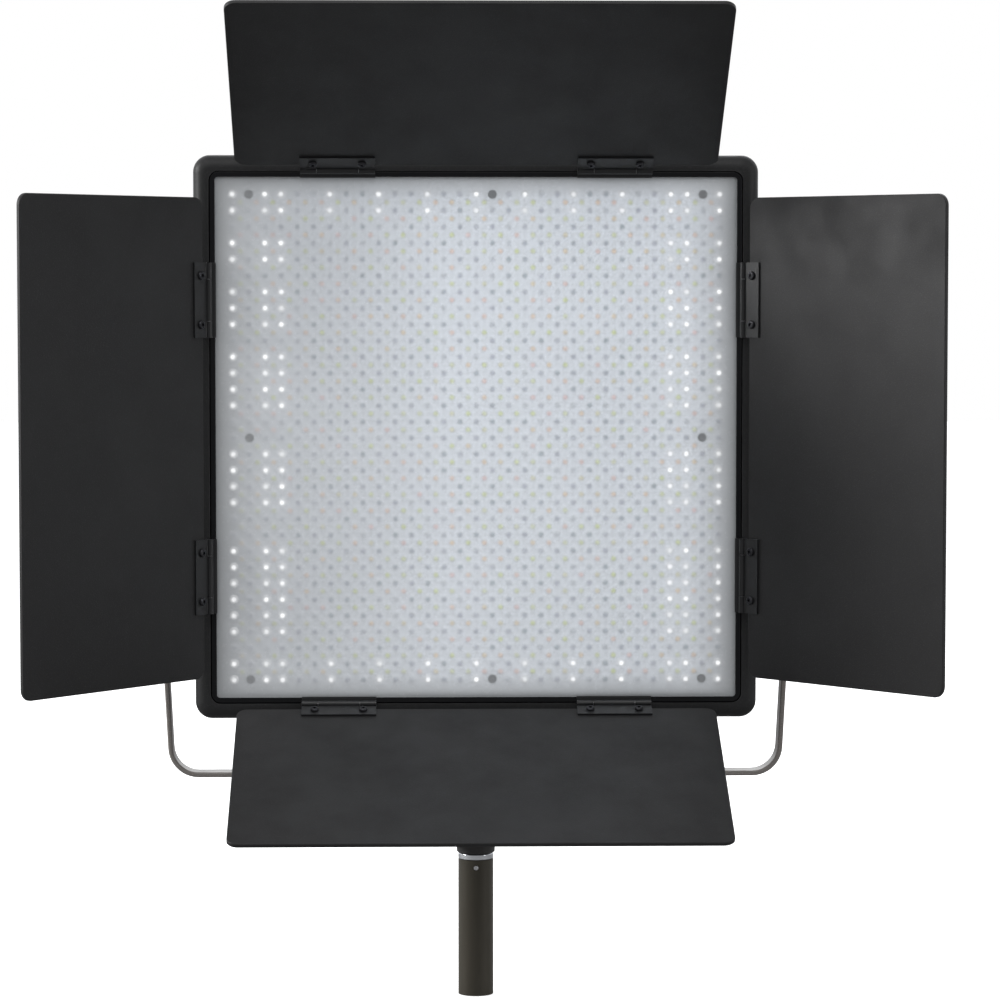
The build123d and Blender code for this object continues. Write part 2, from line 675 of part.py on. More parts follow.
# ==== control panel =========================================================================================
brightness_x, colour_x = -38.0, -78.0      # seen from behind these are right of the middle
display_x, socket_x, rocker_x = 10.0, 92.0, 66.0
button_places = [(-4.0, panel_z - 17.0), (24.0, panel_z - 17.0)]
display_width, display_height = 46.0, 24.0
display_z = panel_z + 7.0
dial_radius, dial_height, shaft_radius = 11.0, 14.0, 3.0
bushing_radius = 4.6
button_radius = 3.2
button_travel = 1.2
rocker_width, rocker_height = 12.6, 18.6
socket_radius = 5.6
control_board_y = back_y - 8.0
panel_screw_places = [(a * (panel_width / 2 - 7), panel_z + b * (panel_height / 2 - 7))
                      for a in (-1, 1) for b in (-1, 1)]

with BuildPart() as control_plate:
    with BuildSketch(head_plane(panel_face)):
        with Locations((0, panel_z)):
            RectangleRounded(panel_width, panel_height, 6.0)
        with Locations((brightness_x, panel_z), (colour_x, panel_z)):
            Circle(bushing_radius + bolt_gap, mode=Mode.SUBTRACT)
        with Locations((display_x, display_z)):
            RectangleRounded(display_width + 0.4, display_height + 0.4, 2.2, mode=Mode.SUBTRACT)
        with Locations(*button_places):
            Circle(button_radius + cap_gap, mode=Mode.SUBTRACT)
        with Locations((rocker_x, panel_z)):
            Rectangle(rocker_width + 3.4, rocker_height + 3.4, mode=Mode.SUBTRACT)
        with Locations((socket_x, panel_z)):
            Circle(socket_radius + bolt_gap, mode=Mode.SUBTRACT)
        with Locations(*panel_screw_places):
            Circle(case_screw_radius + bolt_gap, mode=Mode.SUBTRACT)
    extrude(amount=panel_thickness)
    fillet(control_plate.faces().sort_by(Axis.Y)[-1].outer_wire().edges(), radius=0.8)
finish(control_plate, "control_plate")

with BuildPart() as display_window:
    with BuildSketch(head_plane(panel_face - 0.2)):
        with Locations((display_x, display_z)):
            RectangleRounded(display_width, display_height, 2.0)
    extrude(amount=1.6)
finish(display_window, "display_window")

with BuildPart() as control_board:
    with BuildSketch(head_plane(control_board_y)):
        with Locations((-22.0, panel_z)):
            Rectangle(144.0, cutout_height - 4.0)
    extrude(amount=board_thickness)
    with BuildSketch(head_plane(panel_face - 1.8)):
        with Locations((display_x, display_z)):
            Rectangle(display_width - 2.0, display_height - 2.0)
    extrude(amount=panel_face - 1.8 - control_board_y)
finish(control_board, "control_board")

with BuildPart() as dial_encoders:
    with BuildSketch(head_plane(back_y - 1.0)):
        with Locations((brightness_x, panel_z), (colour_x, panel_z)):
            Rectangle(12.0, 12.0)
    extrude(amount=back_y - 1.0 - control_board_y)
    with BuildSketch(head_plane(panel_face)):
        with Locations((brightness_x, panel_z), (colour_x, panel_z)):
            Circle(bushing_radius)
    extrude(amount=panel_thickness + 1.0)
    with BuildSketch(head_plane(panel_face)):
        with Locations((brightness_x, panel_z), (colour_x, panel_z)):
            Circle(shaft_radius + running)
    extrude(amount=panel_face - control_board_y - 1.5, mode=Mode.SUBTRACT)
finish(dial_encoders, "dial_encoders")

for name, x in (("brightness_knob", brightness_x), ("colour_knob", colour_x)):
    with BuildPart() as dial:
        with BuildSketch(head_plane(panel_face + 0.6 + dial_height)):
            with Locations((x, panel_z)):
                Circle(dial_radius)
                with PolarLocations(dial_radius + 0.25, 24):
                    Circle(0.7, mode=Mode.SUBTRACT)
        extrude(amount=dial_height)
        fillet(dial.faces().sort_by(Axis.Y)[-1].edges(), radius=0.5)
        with BuildSketch(head_plane(panel_face + 0.7 + dial_height)):
            with Locations((x, panel_z + dial_radius * 0.55)):
                Rectangle(1.0, dial_radius * 0.7)
        extrude(amount=0.6, mode=Mode.SUBTRACT)
        with BuildSketch(head_plane(panel_face + 0.6)):
            with Locations((x, panel_z)):
                Circle(shaft_radius)
        extrude(amount=panel_face + 0.6 - control_board_y - 2.2)
    finish(dial, name)

with BuildPart() as button_switches:
    with BuildSketch(head_plane(back_y - 3.6)):
        with Locations(*button_places):
            Rectangle(6.0, 6.0)
    extrude(amount=back_y - 3.6 - control_board_y)
finish(button_switches, "button_switches")

for name, place in zip(("menu_button", "mode_button"), button_places):
    with BuildPart() as button:
        with BuildSketch(head_plane(panel_face + 1.6)):
            with Locations(place):
                Circle(button_radius)
        extrude(amount=panel_thickness + 1.6)
        fillet(button.faces().sort_by(Axis.Y)[-1].edges(), radius=0.5)
        with BuildSketch(head_plane(back_y)):
            with Locations(place):
                Circle(button_radius + 1.0)
        extrude(amount=1.0)
        with BuildSketch(head_plane(back_y - 1.0)):
            with Locations(place):
                Circle(1.6)
        extrude(amount=2.6 - button_travel - 0.1)
    finish(button, name)

rocker_tilt = 8.0
rocker_depth = 10.0
with BuildPart() as rocker_housing:
    with BuildSketch(head_plane(panel_face + 1.2)):
        with Locations((rocker_x, panel_z)):
            RectangleRounded(rocker_width + 6.0, rocker_height + 6.0, 1.6)
    extrude(amount=1.2)
    with BuildSketch(head_plane(panel_face)):
        with Locations((rocker_x, panel_z)):
            Rectangle(rocker_width + 3.0, rocker_height + 3.0)
    extrude(amount=rocker_depth + 3.0)
    with BuildSketch(head_plane(panel_face + 1.2)):
        with Locations((rocker_x, panel_z)):
            Rectangle(rocker_width + 0.8, rocker_height + 0.8)
    extrude(amount=rocker_depth, mode=Mode.SUBTRACT)
finish(rocker_housing, "rocker_housing")

# The rocker turns on a cross axis; at rest its upper half is pressed in.
rocker_axis_y = panel_face - 2.0
rocker_turn = radians(rocker_tilt)
rocker_plane = Plane(origin=(rocker_x - rocker_width / 2, rocker_axis_y, pivot_z + panel_z),
                     x_dir=(0, cos(rocker_turn), sin(rocker_turn)), z_dir=(1, 0, 0))
with BuildPart() as power_rocker:
    with BuildSketch(rocker_plane):
        with BuildLine():
            Polyline((-2.0, -3.0), (2.2, -rocker_height / 2 + 0.5), (4.6, -rocker_height / 2 + 0.5),
                     (3.4, 0), (4.6, rocker_height / 2 - 0.5), (2.2, rocker_height / 2 - 0.5),
                     (-2.0, 3.0), close=True)
        make_face()
    extrude(amount=rocker_width)
finish(power_rocker, "power_rocker")

with BuildPart() as dc_socket:
    with BuildSketch(head_plane(panel_face + 1.6)):
        with Locations((socket_x, panel_z)):
            RegularPolygon(radius=8.4, side_count=6)
    extrude(amount=1.6)
    with BuildSketch(head_plane(panel_face)):
        with Locations((socket_x, panel_z)):
            Circle(socket_radius)
    extrude(amount=15.0)
    with BuildSketch(head_plane(panel_face + 1.6)):
        with Locations((socket_x, panel_z)):
            Circle(2.9)
    extrude(amount=11.0, mode=Mode.SUBTRACT)
finish(dc_socket, "dc_socket")

with BuildPart() as dc_socket_pin:
    with BuildSketch(head_plane(panel_face - 1.0)):
        with Locations((socket_x, panel_z)):
            Circle(1.05)
    extrude(amount=8.4)
finish(dc_socket_pin, "dc_socket_pin")

with BuildPart() as rear_screws:
    for places, seat, length in ((panel_screw_places, panel_face, panel_thickness),
                                 (battery_screw_places, battery_face - battery_sink, battery_base)):
        cross_screws(back_plane(seat), [(-x, z) for x, z in places], case_screw_radius, length)
finish(rear_screws, "rear_screws")

# ==== battery plate =========================================================================================
rail_width, rail_height = 9.0, 8.0
rail_lip, lip_height = 4.0, 3.0
stop_height = 8.0
catch_width, catch_length = 18.0, 11.0
catch_travel = 3.0
catch_proud = 3.2
catch_z = battery_z + battery_height / 2 - 14.0

with BuildPart() as battery_plate:
    with BuildSketch(head_plane(battery_face)):
        with Locations((0, battery_z)):
            RectangleRounded(battery_width, battery_height, 5.0)
    extrude(amount=battery_base)
    with BuildSketch(head_plane(battery_face + rail_height)):
        with Locations((0, battery_z)):
            RectangleRounded(battery_width, battery_height, 5.0)
        with Locations((0, battery_z + stop_height)):
            Rectangle(battery_width - 2 * rail_width, battery_height, mode=Mode.SUBTRACT)
    extrude(amount=rail_height)
    with BuildSketch(head_plane(battery_face + rail_height)):
        for sign in (-1, 1):
            with Locations((sign * (battery_width / 2 - rail_width - rail_lip / 2 + 0.5), battery_z)):
                Rectangle(rail_lip + 1.0, battery_height - 12.0)
    extrude(amount=lip_height)
    with BuildSketch(head_plane(battery_face)):
        with Locations((0, catch_z)):
            Rectangle(catch_width + 2 * cap_gap, catch_length + 2 * cap_gap)
    extrude(amount=battery_base - 1.5, mode=Mode.SUBTRACT)
    with BuildSketch(head_plane(battery_face)):
        with Locations(*battery_screw_places):
            Circle(case_screw_radius * 2)
    extrude(amount=battery_sink, mode=Mode.SUBTRACT)
    with BuildSketch(head_plane(battery_face)):
        with Locations(*battery_screw_places):
            Circle(case_screw_radius + bolt_gap)
    extrude(amount=battery_base, mode=Mode.SUBTRACT)
finish(battery_plate, "battery_plate")

with BuildPart() as battery_catch:
    with BuildSketch(head_plane(battery_face + catch_proud)):
        with Locations((0, catch_z)):
            Rectangle(catch_width, catch_length)
    extrude(amount=catch_proud + 1.2)
    chamfer(battery_catch.faces().sort_by(Axis.Y)[-1].edges().sort_by(Axis.Z)[-1], length=2.4)
finish(battery_catch, "battery_catch")

with BuildPart() as contact_block:
    with BuildSketch(head_plane(battery_face + 5.0)):
        with Locations((0, battery_z - battery_height / 2 + stop_height + 4.0)):
            Rectangle(40.0, 8.0)
    extrude(amount=5.0)
finish(contact_block, "contact_block")

with BuildPart() as battery_contacts:
    with BuildSketch(head_plane(battery_face + 3.4)):
        with Locations((0, battery_z - battery_height / 2 + stop_height + 8.0 + 4.0)):
            with GridLocations(9.0, 1, 4, 1):
                Rectangle(1.0, 8.0)
    extrude(amount=2.4)
finish(battery_contacts, "battery_contacts")

# ==== hinges on the housing =================================================================================
frame_leaf_inner = window_half - leaf_overhang - hinge_reach
frame_leaf_width = leaf_outer - frame_leaf_inner
leg_middle = opening_half + clip_slot / 2 - hinge_reach
with BuildPart() as hinge_frame_leaves:
    for side in SIDES:
        line = hinge_plane(side, 0)
        with BuildSketch(line.offset(-hinge_rise)):
            with Locations((-clip_offset, 0), (clip_offset, 0)):
                with Locations((0, frame_leaf_inner + frame_leaf_width / 2)):
                    Rectangle(clip_width, frame_leaf_width)
        extrude(amount=leaf_thickness)
        with BuildSketch(line.offset(-hinge_rise)):
            with Locations((-clip_offset, 0), (clip_offset, 0)):
                with Locations((0, leg_middle)):
                    Rectangle(clip_width, leaf_thickness)
        extrude(amount=-leg_length)
        knuckle_x = (clip_width - end_knuckle) / 2
        knuckles = [a * clip_offset + b * knuckle_x for a in (-1, 1) for b in (-1, 1)]
        with BuildSketch(line.offset(-hinge_rise + leaf_thickness / 2)):
            with Locations(*[(x, 0) for x in knuckles]):
                Rectangle(end_knuckle, knuckle_web)
        extrude(amount=hinge_rise - leaf_thickness / 2 - barrel_radius * 0.5)
        for x in knuckles:
            across = Plane(origin=line.from_local_coords(Vector(x - end_knuckle / 2, 0, 0)), z_dir=line.x_dir)
            with BuildSketch(across):
                Circle(barrel_radius)
            extrude(amount=end_knuckle)
            with BuildSketch(across):
                Circle(hinge_pin_radius + snug)
            extrude(amount=end_knuckle, mode=Mode.SUBTRACT)
finish(hinge_frame_leaves, "hinge_frame_leaves")

with BuildPart() as hinge_pins:
    for side in SIDES:
        line = hinge_plane(side, 0)
        for a in (-1, 1):
            start = line.from_local_coords(Vector(a * clip_offset - clip_width / 2, 0, 0))
            with BuildSketch(Plane(origin=start, z_dir=line.x_dir)):
                Circle(hinge_pin_radius)
            extrude(amount=clip_width)
finish(hinge_pins, "hinge_pins")

# ==== barn doors ============================================================================================
door_screw_places = [(a * clip_offset + b * screw_spread, screw_reach) for a in (-1, 1) for b in (-1, 1)]
middle_knuckle = clip_width - 2 * end_knuckle - 2 * knuckle_gap
sheet_length = door_length - door_start
sheet_middle = door_start + sheet_length / 2

for side, angle in door_angles.items():
    door = hinge_plane(side, angle)

    with BuildPart() as door_sheet:
        with BuildSketch(door.offset(sheet_back)):
            with Locations((0, sheet_middle)):
                RectangleRounded(door_width, sheet_length, door_corner)
        extrude(amount=sheet_thickness)
        with BuildSketch(door.offset(sheet_back)):
            with Locations((0, sheet_middle)):
                RectangleRounded(door_width, sheet_length, door_corner)
            with Locations((0, sheet_middle - hem_width)):
                RectangleRounded(door_width - 2 * hem_width, sheet_length, hem_corner, mode=Mode.SUBTRACT)
            with Locations((0, door_start)):
                Rectangle(door_width + 1, 4 * door_corner, mode=Mode.SUBTRACT)
        extrude(amount=-sheet_thickness)
        front_rim = door_sheet.faces().sort_by(Axis(door.origin, door.z_dir))[-1].edges()
        fillet(front_rim, radius=sheet_thickness * 0.55)
        with BuildSketch(door):
            with Locations(*door_screw_places):
                Circle(door_screw_radius + bolt_gap)
        extrude(amount=-3 * sheet_thickness, mode=Mode.SUBTRACT)
    finish(door_sheet, f"door_{side}_sheet")

    with BuildPart() as door_leaves:
        with BuildSketch(door.offset(-leaf_thickness)):
            with Locations((-clip_offset, 0), (clip_offset, 0)):
                with Locations((0, (leaf_start + leaf_end) / 2)):
                    Rectangle(clip_width, leaf_end - leaf_start)
                with Locations((0, leaf_start / 2 + 0.5)):
                    Rectangle(middle_knuckle, leaf_start + 1.0)
        extrude(amount=leaf_thickness)
        for a in (-1, 1):
            start = door.from_local_coords(Vector(a * clip_offset - middle_knuckle / 2, 0, 0))
            with BuildSketch(Plane(origin=start, z_dir=door.x_dir)):
                Circle(barrel_radius)
            extrude(amount=middle_knuckle)
            with BuildSketch(Plane(origin=start, z_dir=door.x_dir)):
                Circle(hinge_pin_radius + running)
            extrude(amount=middle_knuckle, mode=Mode.SUBTRACT)
        with BuildSketch(door):
            with Locations(*door_screw_places):
                Circle(door_screw_radius + bolt_gap)
        extrude(amount=-leaf_thickness, mode=Mode.SUBTRACT)
    finish(door_leaves, f"door_{side}_hinge_leaves")

    with BuildPart() as door_screws:
        with BuildSketch(door):
            with Locations(*door_screw_places):
                Circle(door_screw_radius * head_ratio)
        extrude(amount=door_screw_head)
        fillet(door_screws.edges().group_by(Axis(door.origin, door.z_dir))[-1], radius=0.55 * door_screw_head)
        with BuildSketch(door):
            with Locations(*door_screw_places):
                Circle(door_screw_radius)
        extrude(amount=sheet_back)
        with BuildSketch(door.offset(sheet_back)):
            with Locations(*door_screw_places):
                RegularPolygon(radius=2 * door_screw_radius, side_count=6)
        extrude(amount=-door_screw_head)
        with BuildSketch(door.offset(door_screw_head)):
            with Locations(*door_screw_places):
                RegularPolygon(radius=door_socket_radius, side_count=6)
        extrude(amount=-door_socket_depth, mode=Mode.SUBTRACT)
    finish(door_screws, f"door_{side}_screws")
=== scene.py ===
import json
from math import cos, pi, radians, sin

import bpy
from mathutils import Matrix, Vector


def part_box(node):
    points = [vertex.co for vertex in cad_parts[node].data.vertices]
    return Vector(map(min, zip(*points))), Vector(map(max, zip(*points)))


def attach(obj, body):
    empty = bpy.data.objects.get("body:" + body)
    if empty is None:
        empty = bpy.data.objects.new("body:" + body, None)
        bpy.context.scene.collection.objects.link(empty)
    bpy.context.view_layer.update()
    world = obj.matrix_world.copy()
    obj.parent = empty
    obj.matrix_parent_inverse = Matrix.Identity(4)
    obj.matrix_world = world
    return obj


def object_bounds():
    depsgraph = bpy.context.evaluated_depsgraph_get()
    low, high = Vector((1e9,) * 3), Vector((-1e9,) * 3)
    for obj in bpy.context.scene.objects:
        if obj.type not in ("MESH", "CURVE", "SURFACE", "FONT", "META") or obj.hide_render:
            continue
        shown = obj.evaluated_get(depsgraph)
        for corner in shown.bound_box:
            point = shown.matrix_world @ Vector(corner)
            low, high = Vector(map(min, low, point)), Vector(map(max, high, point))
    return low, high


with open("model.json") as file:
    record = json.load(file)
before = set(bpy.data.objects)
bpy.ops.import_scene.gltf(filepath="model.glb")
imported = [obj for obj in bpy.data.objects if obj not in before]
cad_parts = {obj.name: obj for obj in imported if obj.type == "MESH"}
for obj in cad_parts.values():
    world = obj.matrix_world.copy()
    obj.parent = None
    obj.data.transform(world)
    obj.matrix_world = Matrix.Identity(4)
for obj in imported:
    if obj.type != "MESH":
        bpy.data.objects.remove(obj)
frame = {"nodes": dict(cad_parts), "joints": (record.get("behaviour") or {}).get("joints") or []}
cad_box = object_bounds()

# LED panel light with barn doors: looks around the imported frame. Metres, +Z up, it shines towards -Y.

MM = 0.001
NODES = frame["nodes"]
JOINTS = {joint["name"]: joint for joint in frame["joints"]}
PIVOT = Vector(JOINTS["tilt"]["pos_m"])

# ---- the LED lattices --------------------------------------------------------------------------------
LED_PITCH = 10 * MM
LED_COUNT = 31                       # daylight LEDs a side; the warm ones sit between them
DOME_SEGMENTS = 14
BOARD_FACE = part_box("led_board")[0].y
WINDOW_INSET = 1.9 * MM               # window's edge inside the gasket's outer edge
WINDOW_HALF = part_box("lens_gasket")[1].x - WINDOW_INSET


# ==== materials =======================================================================================
def start_material(name):
    """A new node material, with its tree, its Principled shader and its object coordinates."""
    made = bpy.data.materials.new(name)
    made.use_nodes = True
    tree = made.node_tree
    place = tree.nodes.new("ShaderNodeTexCoord").outputs["Object"]
    return made, tree, tree.nodes["Principled BSDF"], place


def noise(tree, place, scale, detail=2.0, stretch=None):
    """Noise with that many features to a metre, drawn out by stretch along each axis."""
    if stretch:
        mapping = tree.nodes.new("ShaderNodeMapping")
        mapping.inputs["Scale"].default_value = stretch
        tree.links.new(place, mapping.inputs["Vector"])
        place = mapping.outputs["Vector"]
    node = tree.nodes.new("ShaderNodeTexNoise")
    node.inputs["Scale"].default_value = scale
    node.inputs["Detail"].default_value = detail
    tree.links.new(place, node.inputs["Vector"])
    return node.outputs["Fac"]


def cells(tree, place, scale):
    """Distance to the nearest of that many random points to a metre."""
    node = tree.nodes.new("ShaderNodeTexVoronoi")
    node.inputs["Scale"].default_value = scale
    tree.links.new(place, node.inputs["Vector"])
    return node.outputs["Distance"]


def ramp(tree, factor, *stops):
    """Colour ramp through (place, colour) stops."""
    node = tree.nodes.new("ShaderNodeValToRGB")
    elements = node.color_ramp.elements
    while len(elements) < len(stops):
        elements.new(0.5)
    for element, (at, colour) in zip(elements, stops):
        element.position = at
        element.color = (*colour, 1.0)
    tree.links.new(factor, node.inputs["Fac"])
    return node.outputs["Color"]


def remap(tree, factor, from_low, from_high, to_low, to_high):
    """factor moved from one range to another, and held inside it."""
    node = tree.nodes.new("ShaderNodeMapRange")
    limits = {"From Min": from_low, "From Max": from_high, "To Min": to_low, "To Max": to_high}
    for name, value in limits.items():
        node.inputs[name].default_value = value
    tree.links.new(factor, node.inputs["Value"])
    return node.outputs["Result"]


def math(tree, operation, first, second=None):
    """One math node; second is a socket or a number."""
    node = tree.nodes.new("ShaderNodeMath")
    node.operation = operation
    tree.links.new(first, node.inputs[0])
    if isinstance(second, (int, float)):
        node.inputs[1].default_value = second
    elif second is not None:
        tree.links.new(second, node.inputs[1])
    return node.outputs[0]


def vector_math(tree, operation, first, second=None):
    node = tree.nodes.new("ShaderNodeVectorMath")
    node.operation = operation
    tree.links.new(first, node.inputs[0])
    if isinstance(second, (tuple, Vector)):
        node.inputs[1].default_value = second
    elif second is not None:
        tree.links.new(second, node.inputs[1])
    return node.outputs["Value" if operation in ("LENGTH", "DOT_PRODUCT") else "Vector"]


def mix(tree, factor, first, second):
    """Mix of two colours, each a socket or three numbers."""
    node = tree.nodes.new("ShaderNodeMix")
    node.data_type = "RGBA"
    tree.links.new(factor, node.inputs["Factor"])
    for socket, value in ((node.inputs[6], first), (node.inputs[7], second)):
        if isinstance(value, (tuple, list)):
            socket.default_value = (*value, 1.0)
        else:
            tree.links.new(value, socket)
    return node.outputs[2]


def bump(tree, shader, height, distance, strength=1.0):
    """Adds a bump to the shader, over any that it already has."""
    node = tree.nodes.new("ShaderNodeBump")
    node.inputs["Distance"].default_value = distance
    node.inputs["Strength"].default_value = strength
    tree.links.new(height, node.inputs["Height"])
    normal = shader.inputs["Normal"]
    if normal.is_linked:
        tree.links.new(normal.links[0].from_socket, node.inputs["Normal"])
    tree.links.new(node.outputs["Normal"], normal)


def wear_and_highlight_mask(tree, place, radius):
    """Mask of patchy wear and painted highlight along edges: where a rounded normal leans away from the real
    one.
    """
    rounded = tree.nodes.new("ShaderNodeBevel")
    rounded.samples = 4
    rounded.inputs["Radius"].default_value = radius
    real = tree.nodes.new("ShaderNodeNewGeometry").outputs["Normal"]
    lean = vector_math(tree, "DOT_PRODUCT", rounded.outputs["Normal"], real)
    edge = remap(tree, lean, 0.985, 0.8, 0.0, 1.0)
    return math(tree, "MULTIPLY", edge, remap(tree, noise(tree, place, 90.0), 0.4, 0.62, 0.1, 0.8))


def shade(colour, share):
    return tuple(channel * share for channel in colour)


def powder_coat(name, colour, grain=1500.0, roughness=0.5, wear_and_highlight_radius=None, specular=0.35):
    """Fine orange-peel powder coat, slightly mottled, lighter along its edges with wear and a painted
    highlight.
    """
    made, tree, shader, place = start_material(name)
    base = ramp(tree, noise(tree, place, 14.0, 4.0), (0.3, shade(colour, 0.86)), (0.7, shade(colour, 1.14)))
    speck = remap(tree, noise(tree, place, grain, 1.0), 0.56, 0.74, 0.0, 0.55)
    base = mix(tree, speck, base, shade(colour, 2.3))
    if wear_and_highlight_radius:
        # painted highlight and wear: the edges are made four times lighter, in patches
        base = mix(tree, wear_and_highlight_mask(tree, place, wear_and_highlight_radius), base, shade(colour, 4.0))
    tree.links.new(base, shader.inputs["Base Color"])
    rough = remap(tree, noise(tree, place, 35.0, 3.0), 0.3, 0.7, roughness - 0.06, roughness + 0.08)
    tree.links.new(rough, shader.inputs["Roughness"])
    shader.inputs["Specular IOR Level"].default_value = specular
    bump(tree, shader, noise(tree, place, grain, 2.0), 0.12 * MM, 0.55)
    return made


def moulded(name, colour, roughness=0.55, grain=2200.0, specular=0.4):
    """Moulded plastic with a spark-eroded grain and faint flow marks."""
    made, tree, shader, place = start_material(name)
    flow = noise(tree, place, 22.0, 3.0, stretch=(1.0, 1.0, 0.35))
    tree.links.new(ramp(tree, flow, (0.3, shade(colour, 0.85)), (0.7, shade(colour, 1.18))),
                   shader.inputs["Base Color"])
    tree.links.new(remap(tree, cells(tree, place, grain), 0.0, 0.8, roughness - 0.08, roughness + 0.1),
                   shader.inputs["Roughness"])
    shader.inputs["Specular IOR Level"].default_value = specular
    bump(tree, shader, cells(tree, place, grain), 0.08 * MM, 0.5)
    return made


def metal(name, colour, roughness=0.3, brushed=None, metallic=1.0):
    """Bare or plated metal. brushed stretches its fine scratches, which otherwise run all ways."""
    made, tree, shader, place = start_material(name)
    stain = noise(tree, place, 60.0, 4.0)
    tree.links.new(ramp(tree, stain, (0.3, shade(colour, 0.84)), (0.7, shade(colour, 1.08))),
                   shader.inputs["Base Color"])
    scratches = noise(tree, place, 900.0, 3.0, stretch=brushed)
    rough = remap(tree, scratches, 0.3, 0.7, roughness * 0.75, roughness * 1.35)
    tree.links.new(rough, shader.inputs["Roughness"])
    shader.inputs["Metallic"].default_value = metallic
    bump(tree, shader, scratches, 0.02 * MM, 0.6)
    return made


def gloss(name, colour, roughness=0.12, specular=0.5):
    """Gloss plastic with hairline scratches."""
    made, tree, shader, place = start_material(name)
    base = ramp(tree, noise(tree, place, 30.0), (0.3, shade(colour, 0.9)), (0.7, shade(colour, 1.1)))
    tree.links.new(base, shader.inputs["Base Color"])
    hairlines = noise(tree, place, 700.0, 2.0, stretch=(1.0, 1.0, 0.08))
    rough = remap(tree, hairlines, 0.45, 0.75, roughness, roughness + 0.15)
    tree.links.new(rough, shader.inputs["Roughness"])
    shader.inputs["Specular IOR Level"].default_value = specular
    bump(tree, shader, noise(tree, place, 240.0), 0.05 * MM, 0.2)
    return made


def window_painted_light(tree, place):
    """Painted light and shade over the window: 1 in the middle and 0 at its edges, where the doors shade it,
    with less on the left, where the left door's shadow falls, and a little less below.
    """
    centred = vector_math(tree, "SUBTRACT", place, PIVOT)
    parts = tree.nodes.new("ShaderNodeSeparateXYZ")
    tree.links.new(centred, parts.inputs[0])
    # painted shade: darker towards the left, where the left door's shadow falls, and a little darker below
    from_left = remap(tree, parts.outputs["X"], -WINDOW_HALF, -0.1 * WINDOW_HALF, 0.52, 1.0)
    from_below = remap(tree, parts.outputs["Z"], -WINDOW_HALF, 0.5 * WINDOW_HALF, 0.84, 1.0)
    glow = math(tree, "MULTIPLY", from_left, from_below)
    # painted shade falling off steeply to every edge of the window, where the doors shade it
    for axis, steepness in (("X", 14.0), ("Z", 40.0)):
        share = math(tree, "MULTIPLY", math(tree, "ABSOLUTE", parts.outputs[axis]), 1 / WINDOW_HALF)
        fall = math(tree, "POWER", share, steepness)
        glow = math(tree, "MULTIPLY", glow, remap(tree, fall, 0.0, 1.0, 1.0, 0.0))
    return glow


def board_paint():
    """White solder mask over faint copper tracks, with painted light and shade: it glows by emission,
    brightest in the middle and darkened towards the edges.
    """
    made, tree, shader, place = start_material("board_white_mask")
    glow = window_painted_light(tree, place)
    # painted shade: the mask's colour darkens to near black at the window's edges
    base = ramp(tree, glow, (0.0, (0.05, 0.05, 0.05)), (0.5, (0.56, 0.57, 0.58)), (1.0, (0.76, 0.79, 0.83)))
    tracks = tree.nodes.new("ShaderNodeTexBrick")
    tracks.inputs["Scale"].default_value = 1.0 / LED_PITCH
    tracks.inputs["Mortar Size"].default_value = 0.05
    upright = tree.nodes.new("ShaderNodeMapping")
    upright.inputs["Rotation"].default_value = (radians(90), 0, 0)
    tree.links.new(place, upright.inputs["Vector"])
    tree.links.new(upright.outputs["Vector"], tracks.inputs["Vector"])
    base = mix(tree, math(tree, "MULTIPLY", tracks.outputs["Fac"], 0.12), base, (0.55, 0.60, 0.62))
    tree.links.new(base, shader.inputs["Base Color"])
    tree.links.new(remap(tree, noise(tree, place, 300.0), 0.3, 0.7, 0.4, 0.55), shader.inputs["Roughness"])
    # painted light: emission makes the board glow, most in the middle
    light = ramp(tree, glow, (0.0, (0.0, 0.0, 0.0)), (1.0, (0.47, 0.49, 0.515)))
    tree.links.new(light, shader.inputs["Emission Color"])
    shader.inputs["Emission Strength"].default_value = 1.0
    bump(tree, shader, tracks.outputs["Fac"], 0.05 * MM, 0.5)
    return made


